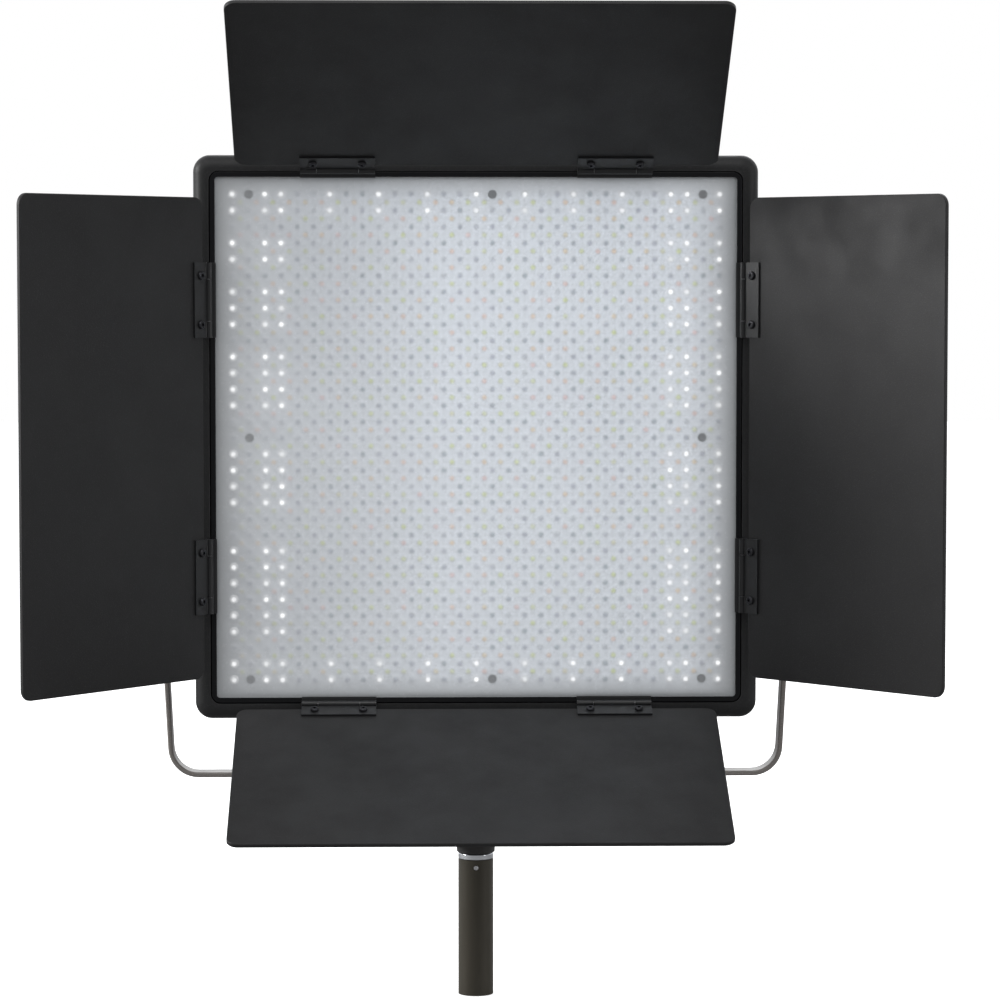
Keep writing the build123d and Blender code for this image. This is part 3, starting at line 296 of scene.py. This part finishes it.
def led_resin(name, cups, rim, shift, light=0.0):
    """Clear LED resin over a small cup of phosphor, whose colour differs a little from LED to LED.

    shift is half a pitch for the lattice that has an LED in the middle. light is the strength of the painted
    glint that stands in for the studio lights mirrored in the domes.
    """
    made, tree, shader, place = start_material(name)
    pitches = vector_math(tree, "SCALE", vector_math(tree, "SUBTRACT", place, PIVOT))
    pitches.node.inputs["Scale"].default_value = 1 / LED_PITCH
    shifted = vector_math(tree, "ADD", pitches, (shift, 0.0, shift))
    random = tree.nodes.new("ShaderNodeTexWhiteNoise")
    tree.links.new(vector_math(tree, "MULTIPLY", vector_math(tree, "FLOOR", shifted), (1.0, 0.0, 1.0)),
                   random.inputs["Vector"])
    tint = ramp(tree, random.outputs["Value"], *cups)
    local = vector_math(tree, "SUBTRACT", vector_math(tree, "FRACTION", shifted), (0.5, 0.0, 0.5))
    reach = vector_math(tree, "LENGTH", vector_math(tree, "MULTIPLY", local, (1.0, 0.0, 1.0)))
    outside = remap(tree, reach, 0.10, 0.19, 0.0, 1.0)
    base = mix(tree, outside, tint, rim)
    # painted shade: the LEDs turn dark grey towards the window's edges
    glow = window_painted_light(tree, place)
    base = mix(tree, glow, mix(tree, outside, (0.16, 0.16, 0.17), (0.22, 0.22, 0.23)), base)
    tree.links.new(base, shader.inputs["Base Color"])
    if light:
        # painted glint: a white emissive spot on these LEDs stands in for the studio lights mirrored in their
        # domes
        spread = remap(tree, reach, 0.10, 0.18, 0.0, 1.0)
        chance = remap(tree, random.outputs["Value"], 0.0, 1.0, 0.65, 1.0)
        painted_glint = mix(tree, chance, (0.0, 0.0, 0.0), (1.0, 1.0, 1.0))
        lit = mix(tree, spread, painted_glint, (0.25, 0.25, 0.25))
        tree.links.new(lit, shader.inputs["Emission Color"])
        shader.inputs["Emission Strength"].default_value = light
    else:
        # painted light: the LEDs glow by emission in their own colour, dimmed with the painted shade
        tree.links.new(base, shader.inputs["Emission Color"])
        shader.inputs["Emission Strength"].default_value = 0.48
    tree.links.new(remap(tree, noise(tree, place, 500.0), 0.3, 0.7, 0.08, 0.2), shader.inputs["Roughness"])
    return made


def lens_acrylic():
    """Lightly frosted acrylic sheet: clear enough to see the LEDs through a pale haze."""
    made, tree, shader, place = start_material("lens_acrylic")
    haze = ramp(tree, noise(tree, place, 9.0), (0.3, (0.76, 0.78, 0.80)), (0.7, (0.83, 0.85, 0.87)))
    tree.links.new(haze, shader.inputs["Base Color"])
    frost = remap(tree, noise(tree, place, 400.0, 3.0), 0.3, 0.7, 0.16, 0.3)
    tree.links.new(frost, shader.inputs["Roughness"])
    shader.inputs["Alpha"].default_value = 0.33
    shader.inputs["Specular IOR Level"].default_value = 0.5
    bump(tree, shader, noise(tree, place, 1500.0), 0.03 * MM, 0.3)
    return made


def display_glass():
    """Dark tinted window over the display, faintly smeared."""
    made, tree, shader, place = start_material("display_glass")
    tint = ramp(tree, noise(tree, place, 80.0), (0.3, (0.010, 0.014, 0.018)), (0.7, (0.016, 0.02, 0.026)))
    tree.links.new(tint, shader.inputs["Base Color"])
    smears = remap(tree, noise(tree, place, 600.0, 3.0), 0.4, 0.7, 0.04, 0.14)
    tree.links.new(smears, shader.inputs["Roughness"])
    shader.inputs["Alpha"].default_value = 0.35
    return made


def circuit_board():
    """Green solder mask over a net of copper tracks."""
    made, tree, shader, place = start_material("circuit_mask")
    tracks = remap(tree, cells(tree, place, 260.0), 0.32, 0.36, 0.0, 1.0)
    base = mix(tree, tracks, (0.015, 0.10, 0.045), (0.03, 0.19, 0.085))
    tree.links.new(base, shader.inputs["Base Color"])
    tree.links.new(remap(tree, noise(tree, place, 300.0), 0.3, 0.7, 0.25, 0.4), shader.inputs["Roughness"])
    bump(tree, shader, tracks, 0.03 * MM, 0.6)
    return made


def foam_rubber():
    """Pale open-pored foam."""
    made, tree, shader, place = start_material("foam_rubber")
    pores = cells(tree, place, 1700.0)
    tree.links.new(ramp(tree, pores, (0.0, (0.14, 0.145, 0.15)), (0.5, (0.30, 0.31, 0.32))),
                   shader.inputs["Base Color"])
    tree.links.new(remap(tree, pores, 0.0, 0.6, 0.95, 0.8), shader.inputs["Roughness"])
    bump(tree, shader, pores, 0.15 * MM, 0.8)
    return made


def turned_chrome():
    """Polished plated ring with the fine turning marks of a lathe round it."""
    made, tree, shader, place = start_material("turned_chrome")
    turns = noise(tree, place, 1.0, 2.0, stretch=(20.0, 20.0, 2600.0))
    stain = noise(tree, place, 45.0, 3.0)
    tree.links.new(ramp(tree, stain, (0.35, (0.60, 0.61, 0.64)), (0.65, (0.86, 0.87, 0.90))),
                   shader.inputs["Base Color"])
    tree.links.new(remap(tree, turns, 0.3, 0.7, 0.10, 0.24), shader.inputs["Roughness"])
    shader.inputs["Metallic"].default_value = 1.0
    bump(tree, shader, turns, 0.06 * MM, 0.7)
    return made


def tube_paint():
    """Dark olive satin tube with faint lengthwise drawing lines and rubbed patches."""
    made, tree, shader, place = start_material("tube_paint")
    rubbed = noise(tree, place, 40.0, 5.0, stretch=(1.0, 1.0, 0.3))
    olive = ramp(tree, rubbed, (0.3, (0.060, 0.052, 0.037)), (0.62, (0.076, 0.067, 0.050)),
                 (0.85, (0.120, 0.108, 0.085)))
    tree.links.new(olive, shader.inputs["Base Color"])
    lines = noise(tree, place, 1300.0, 2.0, stretch=(1.0, 1.0, 0.03))
    tree.links.new(remap(tree, lines, 0.3, 0.7, 0.34, 0.5), shader.inputs["Roughness"])
    shader.inputs["Metallic"].default_value = 0.25
    bump(tree, shader, lines, 0.03 * MM, 0.6)
    return made


def printed(name, colour, strength=0.0):
    """Screen-printed ink or a small lit mark."""
    made, tree, shader, place = start_material(name)
    ink = ramp(tree, noise(tree, place, 900.0, 3.0), (0.3, shade(colour, 0.8)), (0.6, colour))
    tree.links.new(ink, shader.inputs["Base Color"])
    if strength:
        tree.links.new(ink, shader.inputs["Emission Color"])
        shader.inputs["Emission Strength"].default_value = strength
    tree.links.new(remap(tree, noise(tree, place, 400.0), 0.3, 0.7, 0.45, 0.6), shader.inputs["Roughness"])
    return made


def paint_nodes(material, *names):
    """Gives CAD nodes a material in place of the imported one."""
    for name in names:
        mesh = NODES[name].data
        mesh.materials.clear()
        mesh.materials.append(material)


DOOR_SIDES = ("left", "right", "top", "bottom")

paint_nodes(powder_coat("housing_coat", (0.017, 0.017, 0.0175), 1300.0, 0.46, wear_and_highlight_radius=0.8 * MM, specular=0.24),
            "front_bezel", "rear_shell")
paint_nodes(powder_coat("door_coat", (0.0165, 0.016, 0.0165), 1500.0, 0.5, wear_and_highlight_radius=0.6 * MM),
            *[f"door_{side}_sheet" for side in DOOR_SIDES])
paint_nodes(powder_coat("hinge_coat", (0.011, 0.011, 0.012), 2600.0, 0.38, wear_and_highlight_radius=0.35 * MM, specular=0.5),
            "hinge_frame_leaves", *[f"door_{side}_hinge_leaves" for side in DOOR_SIDES])
paint_nodes(metal("black_oxide", (0.045, 0.045, 0.05), 0.34, metallic=0.8),
            "case_screws", "rear_screws", "driver_screws", "receiver_bolts",
            *[f"door_{side}_screws" for side in DOOR_SIDES])
paint_nodes(metal("board_screw_oxide", (0.03, 0.03, 0.035), 0.4, metallic=0.5), "board_screws")
paint_nodes(powder_coat("yoke_satin", (0.235, 0.215, 0.20), 1900.0, 0.36, wear_and_highlight_radius=0.7 * MM, specular=0.5),
            "yoke_bar")
paint_nodes(metal("zinc_steel", (0.58, 0.58, 0.60), 0.28),
            "hinge_pins", "riser_spigot", "lock_screw", "tilt_stud_left", "tilt_stud_right",
            "riser_cross_pin", "dc_socket")
paint_nodes(turned_chrome(), "shoulder_ring")
paint_nodes(tube_paint(), "riser_tube")
paint_nodes(moulded("receiver_nylon", (0.042, 0.040, 0.039), 0.5, 1500.0), "stand_receiver")
paint_nodes(moulded("knob_nylon", (0.022, 0.022, 0.023), 0.48),
            "lock_knob", "tilt_knob_left", "tilt_knob_right", "brightness_knob", "colour_knob",
            "menu_button", "mode_button", "rocker_housing", "tube_end_plug")
paint_nodes(moulded("washer_nylon", (0.09, 0.09, 0.09), 0.6), "pivot_washers")
paint_nodes(metal("boss_anodised", (0.12, 0.12, 0.125), 0.36, metallic=0.7), "tilt_bosses")
paint_nodes(lens_acrylic(), "lens_sheet")
paint_nodes(gloss("frame_gloss_black", (0.005, 0.005, 0.006), specular=0.22), "lens_frame")
paint_nodes(foam_rubber(), "lens_gasket")
paint_nodes(board_paint(), "led_board")
paint_nodes(metal("sink_extrusion", (0.55, 0.55, 0.57), 0.42, brushed=(0.1, 1.0, 0.05)), "heat_sink")
paint_nodes(circuit_board(), "driver_board", "control_board")
paint_nodes(moulded("component_epoxy", (0.035, 0.035, 0.036), 0.42),
            "driver_components", "dial_encoders", "button_switches", "contact_block")
paint_nodes(powder_coat("panel_satin", (0.026, 0.026, 0.028), 2400.0, 0.42), "control_plate")
paint_nodes(display_glass(), "display_window")
paint_nodes(gloss("rocker_gloss_red", (0.40, 0.018, 0.018), 0.16), "power_rocker")
paint_nodes(metal("gold_contact", (0.80, 0.58, 0.22), 0.22), "battery_contacts", "dc_socket_pin")
paint_nodes(moulded("plate_nylon", (0.030, 0.030, 0.031), 0.52, 1800.0), "battery_plate")
paint_nodes(moulded("catch_nylon", (0.42, 0.035, 0.02), 0.42), "battery_catch")


# ==== mesh helpers ====================================================================================
def new_piece(name, vertices, faces, material, body, slot=None, smooth_angle=35):
    """A finished piece that rides on a body, smooth except at edges sharper than smooth_angle degrees."""
    mesh = bpy.data.meshes.new(name)
    mesh.from_pydata([tuple(v) for v in vertices], [], faces)
    mesh.validate()
    for polygon in mesh.polygons:
        polygon.use_smooth = True
    mesh.set_sharp_from_angle(angle=radians(smooth_angle))
    mesh.materials.append(material)
    piece = bpy.data.objects.new(name, mesh)
    bpy.context.scene.collection.objects.link(piece)
    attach(piece, body)
    return piece


def turned(profile, segments):
    """Vertices and faces of a turned solid about +Z, from (radius, height) points.

    A radius of 0 closes an end.
    """
    vertices, faces, rings = [], [], []
    for radius, height in profile:
        if radius == 0:
            rings.append([len(vertices)])
            vertices.append(Vector((0, 0, height)))
            continue
        rings.append(list(range(len(vertices), len(vertices) + segments)))
        for k in range(segments):
            turn = 2 * pi * k / segments
            vertices.append(Vector((radius * cos(turn), radius * sin(turn), height)))
    for low, high in zip(rings, rings[1:]):
        for k in range(segments):
            n = (k + 1) % segments
            if len(low) == 1:
                faces.append((low[0], high[n], high[k]))
            elif len(high) == 1:
                faces.append((low[k], low[n], high[0]))
            else:
                faces.append((low[k], low[n], high[n], high[k]))
    return vertices, faces


def copies(shape, places):
    """One shape's vertices and faces repeated at each matrix."""
    vertices, faces = [], []
    for place in places:
        start = len(vertices)
        vertices += [place @ v for v in shape[0]]
        faces += [tuple(start + i for i in face) for face in shape[1]]
    return vertices, faces


def slab(width, height, thickness, corner, steps):
    """Rounded rectangle plate lying in XY from z 0 to thickness, with that many steps to a corner."""
    vertices, faces, rings = [], [], []
    for z in (0.0, thickness):
        ring = []
        for quarter in range(4):
            cx = (width / 2 - corner) * (1 if quarter in (0, 3) else -1)
            cy = (height / 2 - corner) * (1 if quarter in (0, 1) else -1)
            for k in range(steps + 1):
                turn = pi / 2 * (quarter + k / steps)
                ring.append(len(vertices))
                vertices.append(Vector((cx + corner * cos(turn), cy + corner * sin(turn), z)))
        rings.append(ring)
    low, high = rings
    for k in range(len(low)):
        n = (k + 1) % len(low)
        faces.append((low[k], low[n], high[n], high[k]))
    faces.append(tuple(reversed(low)))
    faces.append(tuple(high))
    return vertices, faces


def joined(*shapes):
    """Several (vertices, faces) as one."""
    vertices, faces = [], []
    for shape_vertices, shape_faces in shapes:
        start = len(vertices)
        vertices += shape_vertices
        faces += [tuple(start + i for i in face) for face in shape_faces]
    return vertices, faces


def facing(origin, normal, up=Vector((0, 0, 1))):
    """Matrix that stands a shape made in XY on a surface: its +Z becomes normal and its +Y up."""
    z = Vector(normal).normalized()
    x = Vector(up).cross(z).normalized()
    y = z.cross(x)
    turn = Matrix((x, y, z)).transposed().to_4x4()
    return Matrix.Translation(origin) @ turn


# ==== LEDs ============================================================================================
# (radius, height) in millimetres up one LED: its flange, its barrel and its dome
DOME = [(2.75, 0.0), (2.75, 0.6), (2.4, 0.75), (2.38, 1.9), (2.15, 2.75), (1.6, 3.45), (0.85, 3.85), (0, 4.0)]
DARK_ROWS = (13, 10, 6, 1, 0, -5, -6, -13)     # rows of the outer columns that get no painted glint
LIT_COLUMNS = (15, 13, 12)


def led_place(column, row):
    """Where that LED of the daylight lattice stands on the board; halves give the warm one between."""
    return PIVOT + Vector((column * LED_PITCH, BOARD_FACE - PIVOT.y, row * LED_PITCH))


def is_screw(column, row):
    """True where a board screw takes the place of an LED."""
    edge = LED_COUNT // 2
    return row in (-edge, 0, edge) and column in (1 - edge, 1, edge - 1) and (column, row) != (1, 0)


def gets_painted_glint(column, row):
    """The outer rows and columns of daylight LEDs that get a painted glint, in place of the studio lights
    that they mirror straight at the viewer.
    """
    if abs(column) in LIT_COLUMNS and row not in DARK_ROWS:
        return True
    return abs(row) >= LED_COUNT // 2 - 1 and column % 3 == 0


def led_pieces():
    """Three pieces: the daylight LEDs, those of them with a painted glint, and the warm LEDs between them."""
    dome = turned([(r * MM, h * MM) for r, h in DOME], DOME_SEGMENTS)
    edge = LED_COUNT // 2
    cool, bright, warm = [], [], []
    for row in range(-edge, edge + 1):
        for column in range(-edge, edge + 1):
            if not is_screw(column, row):
                chosen = bright if gets_painted_glint(column, row) else cool
                chosen.append(facing(led_place(column, row), (0, -1, 0)))
            if row < edge and column < edge:
                warm.append(facing(led_place(column + 0.5, row + 0.5), (0, -1, 0)))
    cool_cups = ((0.0, (0.46, 0.53, 0.57)), (0.5, (0.56, 0.58, 0.67)), (1.0, (0.72, 0.76, 0.80)))
    warm_cups = ((0.0, (0.84, 0.92, 0.42)), (0.45, (0.86, 0.90, 0.64)), (0.7, (1.0, 0.80, 0.56)),
                 (1.0, (1.0, 0.74, 0.72)))
    rim = (0.76, 0.79, 0.83)
    for name, places, material in (
        ("leds_daylight", cool, led_resin("led_resin_cool", cool_cups, rim, 0.5)),
        ("leds_daylight_painted_glint", bright, led_resin("led_resin_painted_glint", cool_cups, rim, 0.5, light=1.7)),
        ("leds_tungsten", warm, led_resin("led_resin_warm", warm_cups, rim, 0.0)),
    ):
        new_piece(name, *copies(dome, places), material, "head", "clear_lens", smooth_angle=50)


led_pieces()


# ==== control panel details ===========================================================================
PANEL_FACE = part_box("control_plate")[1].y
BACK = Vector((0, 1, 0))
PRINT_WHITE = printed("print_white", (0.70, 0.71, 0.72))
PRINT_DEPTH = 0.12 * MM
DIALS = ("brightness_knob", "colour_knob")


def node_centre(name):
    low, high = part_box(name)
    return (low + high) / 2


def dial_scale():
    """Printed ticks round both dials, every fifth one longer and thicker."""
    ticks, sweep = 11, 270
    shapes = []
    for name in DIALS:
        centre = node_centre(name)
        radius = (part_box(name)[1].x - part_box(name)[0].x) / 2
        for k in range(ticks):
            turn = radians(-sweep / 2 + sweep / (ticks - 1) * k)
            long_tick = k % 5 == 0
            length = (2.6 if long_tick else 1.6) * MM
            reach = radius + 2.0 * MM + length / 2
            away = Vector((-sin(turn), 0, cos(turn)))
            place = Vector((centre.x, PANEL_FACE, centre.z)) + away * reach
            tick = slab((0.6 if long_tick else 0.4) * MM, length, PRINT_DEPTH, 0.15 * MM, 2)
            shapes.append(copies(tick, [facing(place, BACK, away)]))
    new_piece("dial_ticks", *joined(*shapes), PRINT_WHITE, "head")


def panel_frames():
    """Four printed hairlines round the display, open at its corners, and a dash under each button."""
    low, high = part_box("display_window")
    margin, line, corner = 5 * MM, 0.45 * MM, 0.2 * MM
    width, height = high.x - low.x + margin, high.z - low.z + margin
    corner_opening = 3 * MM
    centre = Vector(((low.x + high.x) / 2, PANEL_FACE, (low.z + high.z) / 2))
    bars = []
    for sign in (-1, 1):
        across = slab(width - corner_opening, line, PRINT_DEPTH, corner, 2)
        bars.append(copies(across, [facing(centre + Vector((0, 0, sign * height / 2)), BACK)]))
        upright = slab(line, height - corner_opening, PRINT_DEPTH, corner, 2)
        bars.append(copies(upright, [facing(centre + Vector((sign * width / 2, 0, 0)), BACK)]))
    for name in ("menu_button", "mode_button"):
        spot = node_centre(name)
        dash = slab(5 * MM, 0.6 * MM, PRINT_DEPTH, corner, 2)
        bars.append(copies(dash, [facing(Vector((spot.x, PANEL_FACE, spot.z - 6 * MM)), BACK)]))
    new_piece("panel_print", *joined(*bars), PRINT_WHITE, "head")


def display_bars():
    """Generic read-out under the glass: two rows of level bars and a row of dots."""
    low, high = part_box("display_window")
    depth = low.y - 0.02 * MM
    left = high.x - 6 * MM                    # seen from behind, larger x is to the left
    thickness, bar_count, bar_pitch = 0.15 * MM, 14, 2.5 * MM
    tall, short = 4.4 * MM, 1.0 * MM
    shapes = []
    for row, lit in enumerate((9, 5)):
        middle = high.z - (6.5 + 7.5 * row) * MM
        for k in range(bar_count):
            height = tall if k < lit else short
            bar = slab(1.5 * MM, height, thickness, 0.25 * MM, 2)
            place = Vector((left - k * bar_pitch, depth, middle + (height - tall) / 2))
            shapes.append(copies(bar, [facing(place, BACK)]))
    dot = slab(2.2 * MM, 2.2 * MM, thickness, 1.0 * MM, 3)
    for k in range(3):
        place = Vector((left - k * 6 * MM, depth, low.z + 3.4 * MM))
        shapes.append(copies(dot, [facing(place, BACK)]))
    cyan = printed("display_cyan", (0.25, 0.75, 0.85), 0.9)
    new_piece("display_bars", *joined(*shapes), cyan, "head")


def knob_marks():
    """White inlay in each dial's pointer slot."""
    slot_depth, slot_middle = 0.55 * MM, 0.55          # the middle is a share of the dial's radius
    for name in DIALS:
        low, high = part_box(name)
        centre = node_centre(name)
        radius = (high.x - low.x) / 2
        place = Vector((centre.x, high.y - slot_depth, centre.z + radius * slot_middle))
        inlay = slab(0.9 * MM, radius * 0.66, 0.45 * MM, 0.3 * MM, 3)
        new_piece(f"{name}_mark", *copies(inlay, [facing(place, BACK)]), PRINT_WHITE, name)


def knob_caps():
    """Pressed-in disc with a raised ring on the face of each star knob."""
    rim = [(6.6, -0.4), (6.6, 0.35), (6.2, 0.6), (5.0, 0.6), (4.7, 0.3)]
    button = [(2.0, 0.3), (1.7, 0.55), (0, 0.6)]
    disc = turned([(r * MM, h * MM) for r, h in rim + button], 48)
    satin = metal("cap_satin", (0.16, 0.16, 0.17), 0.3, metallic=0.9)
    for side, sign in (("left", -1), ("right", 1)):
        knob = f"tilt_knob_{side}"
        low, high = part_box(knob)
        centre = node_centre(knob)
        centre.x = high.x if sign > 0 else low.x
        new_piece(f"{knob}_cap", *copies(disc, [facing(centre, (sign, 0, 0))]), satin, knob, "steel")
    centre = node_centre("lock_knob")
    centre.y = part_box("lock_knob")[1].y
    new_piece("lock_knob_cap", *copies(disc, [facing(centre, BACK)]), satin, "lock_knob", "steel")


def vent_screen():
    """Fine wire screen close behind the rear shell's slots."""
    shell_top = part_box("rear_shell")[1]
    depth = shell_top.y - 3.2 * MM
    width, height = 276 * MM, 36 * MM
    middle = shell_top.z - 38 * MM
    wire, corner = 0.28 * MM, 0.112 * MM
    upright_count, row_count = 110, 15
    upright = slab(wire, height, wire, corner, 1)
    row = slab(width, wire, wire, corner, 1)
    upright_places = []
    for k in range(upright_count):
        x = width * ((k + 0.5) / upright_count - 0.5)
        upright_places.append(facing(Vector((x, depth, middle)), BACK))
    row_places = []
    for k in range(row_count):
        z = middle + height * ((k + 0.5) / row_count - 0.5)
        row_places.append(facing(Vector((0, depth - wire, z)), BACK))
    screen = joined(copies(upright, upright_places), copies(row, row_places))
    new_piece("vent_screen", *screen, metal("screen_wire", (0.20, 0.20, 0.21), 0.4), "head")


def rocker_marks():
    """A bar on one half of the rocker and a ring on the other."""
    axis_place = Vector(JOINTS["power_switch"]["pos_m"])
    lean = radians(8.0)                       # of the rocker at rest, and of each half against its middle
    about_axis = Matrix.Translation(axis_place) @ Matrix.Rotation(lean, 4, "X")
    tilt = about_axis @ Matrix.Translation(-axis_place)
    face = axis_place.y + 3.97 * MM
    thickness, outer, inner, off_middle = 0.25 * MM, 1.6 * MM, 1.0 * MM, 5 * MM
    bar = slab(0.7 * MM, 2 * outer, thickness, 0.2 * MM, 2)
    ring = turned([(outer, 0), (outer, thickness), (inner, thickness), (inner, 0)], 24)
    shapes = []
    for shape, sign in ((ring, 1), (bar, -1)):
        normal = Vector((0, cos(lean), -sign * sin(lean)))
        place = Vector((node_centre("power_rocker").x, face, axis_place.z + sign * off_middle))
        shapes.append(copies(shape, [tilt @ facing(place, normal)]))
    new_piece("rocker_marks", *joined(*shapes), PRINT_WHITE, "power_rocker")


dial_scale()
panel_frames()
display_bars()
knob_marks()
knob_caps()
vent_screen()
rocker_marks()


# ==== stage, light and camera =========================================================================
def camera_only(tree, shown, real):
    """Shader that is shown to the camera and real to every other ray."""
    choice = tree.nodes.new("ShaderNodeMixShader")
    path = tree.nodes.new("ShaderNodeLightPath")
    tree.links.new(path.outputs["Is Camera Ray"], choice.inputs["Fac"])
    tree.links.new(real, choice.inputs[1])
    tree.links.new(shown, choice.inputs[2])
    return choice.outputs["Shader"]


def make_world():
    """White to the camera; to the lamp a dim room in front and a bright backdrop behind."""
    world = bpy.data.worlds.new("studio")
    world.use_nodes = True
    bpy.context.scene.world = world
    tree = world.node_tree
    real = tree.nodes["Background"]
    real.inputs["Color"].default_value = (0.96, 0.98, 1.0, 1.0)
    direction = tree.nodes.new("ShaderNodeSeparateXYZ")
    tree.links.new(tree.nodes.new("ShaderNodeTexCoord").outputs["Generated"], direction.inputs[0])
    tree.links.new(remap(tree, direction.outputs["Y"], -0.1, 0.7, 0.33, 1.25), real.inputs["Strength"])
    shown = tree.nodes.new("ShaderNodeBackground")
    shown.inputs["Color"].default_value = (1.0, 1.0, 1.0, 1.0)
    surface = camera_only(tree, shown.outputs[0], real.outputs[0])
    tree.links.new(surface, tree.nodes["World Output"].inputs["Surface"])


def make_floor():
    """Plain pale floor under the riser's end, paler to the camera than to the light that it sends back."""
    half_size = 9.0
    level = cad_box[0].z - 0.2 * MM
    corners = [(-half_size, -half_size, level), (half_size, -half_size, level),
               (half_size, half_size, level), (-half_size, half_size, level)]
    mesh = bpy.data.meshes.new("floor")
    mesh.from_pydata(corners, [], [(0, 1, 2, 3)])
    floor = bpy.data.objects.new("floor", mesh)
    bpy.context.scene.collection.objects.link(floor)
    made, tree, shader, place = start_material("pale_floor")
    tree.links.new(ramp(tree, noise(tree, place, 3.0), (0.3, (0.24, 0.24, 0.24)), (0.7, (0.26, 0.26, 0.26))),
                   shader.inputs["Base Color"])
    shader.inputs["Roughness"].default_value = 0.9
    white = tree.nodes.new("ShaderNodeBsdfDiffuse")
    white.inputs["Color"].default_value = (0.8, 0.8, 0.8, 1.0)
    glow = tree.nodes.new("ShaderNodeEmission")
    glow.inputs["Strength"].default_value = 0.78
    shown = tree.nodes.new("ShaderNodeAddShader")
    tree.links.new(white.outputs[0], shown.inputs[0])
    tree.links.new(glow.outputs[0], shown.inputs[1])
    tree.links.new(camera_only(tree, shown.outputs[0], shader.outputs[0]),
                   tree.nodes["Material Output"].inputs["Surface"])
    mesh.materials.append(made)


def softbox(name, place, target, width, height, power):
    light = bpy.data.lights.new(name, "AREA")
    light.shape = "RECTANGLE"
    light.size, light.size_y = width, height
    light.energy = power
    lamp = bpy.data.objects.new(name, light)
    lamp.location = place
    lamp.rotation_euler = (Vector(target) - Vector(place)).to_track_quat("-Z", "Y").to_euler()
    bpy.context.scene.collection.objects.link(lamp)


def make_camera():
    """Long lens a little left of the panel and slightly above its middle."""
    down, turned_right = 3.53, 1.44
    camera = bpy.data.objects.new("camera", bpy.data.cameras.new("camera"))
    camera.data.sensor_width = 36.0
    camera.data.lens = 129.6
    camera.location = PIVOT + Vector((-41.2 * MM, -2244.9 * MM, 98.6 * MM))
    camera.rotation_euler = (radians(90 - down), 0, radians(-turned_right))
    bpy.context.scene.collection.objects.link(camera)
    bpy.context.scene.camera = camera


make_world()
make_floor()
softbox("key_light", (-1.9, -0.15, 0.95), PIVOT, 0.7, 0.6, 32.0)
softbox("top_light", (-0.3, -1.2, 2.0), PIVOT, 1.6, 1.2, 17.0)
softbox("right_light", (1.9, -1.0, 0.9), PIVOT, 0.4, 1.4, 8.0)
softbox("back_light", (0.4, 1.9, 1.4), PIVOT, 1.6, 1.0, 14.0)
make_camera()
bpy.context.scene.view_settings.view_transform = "Standard"
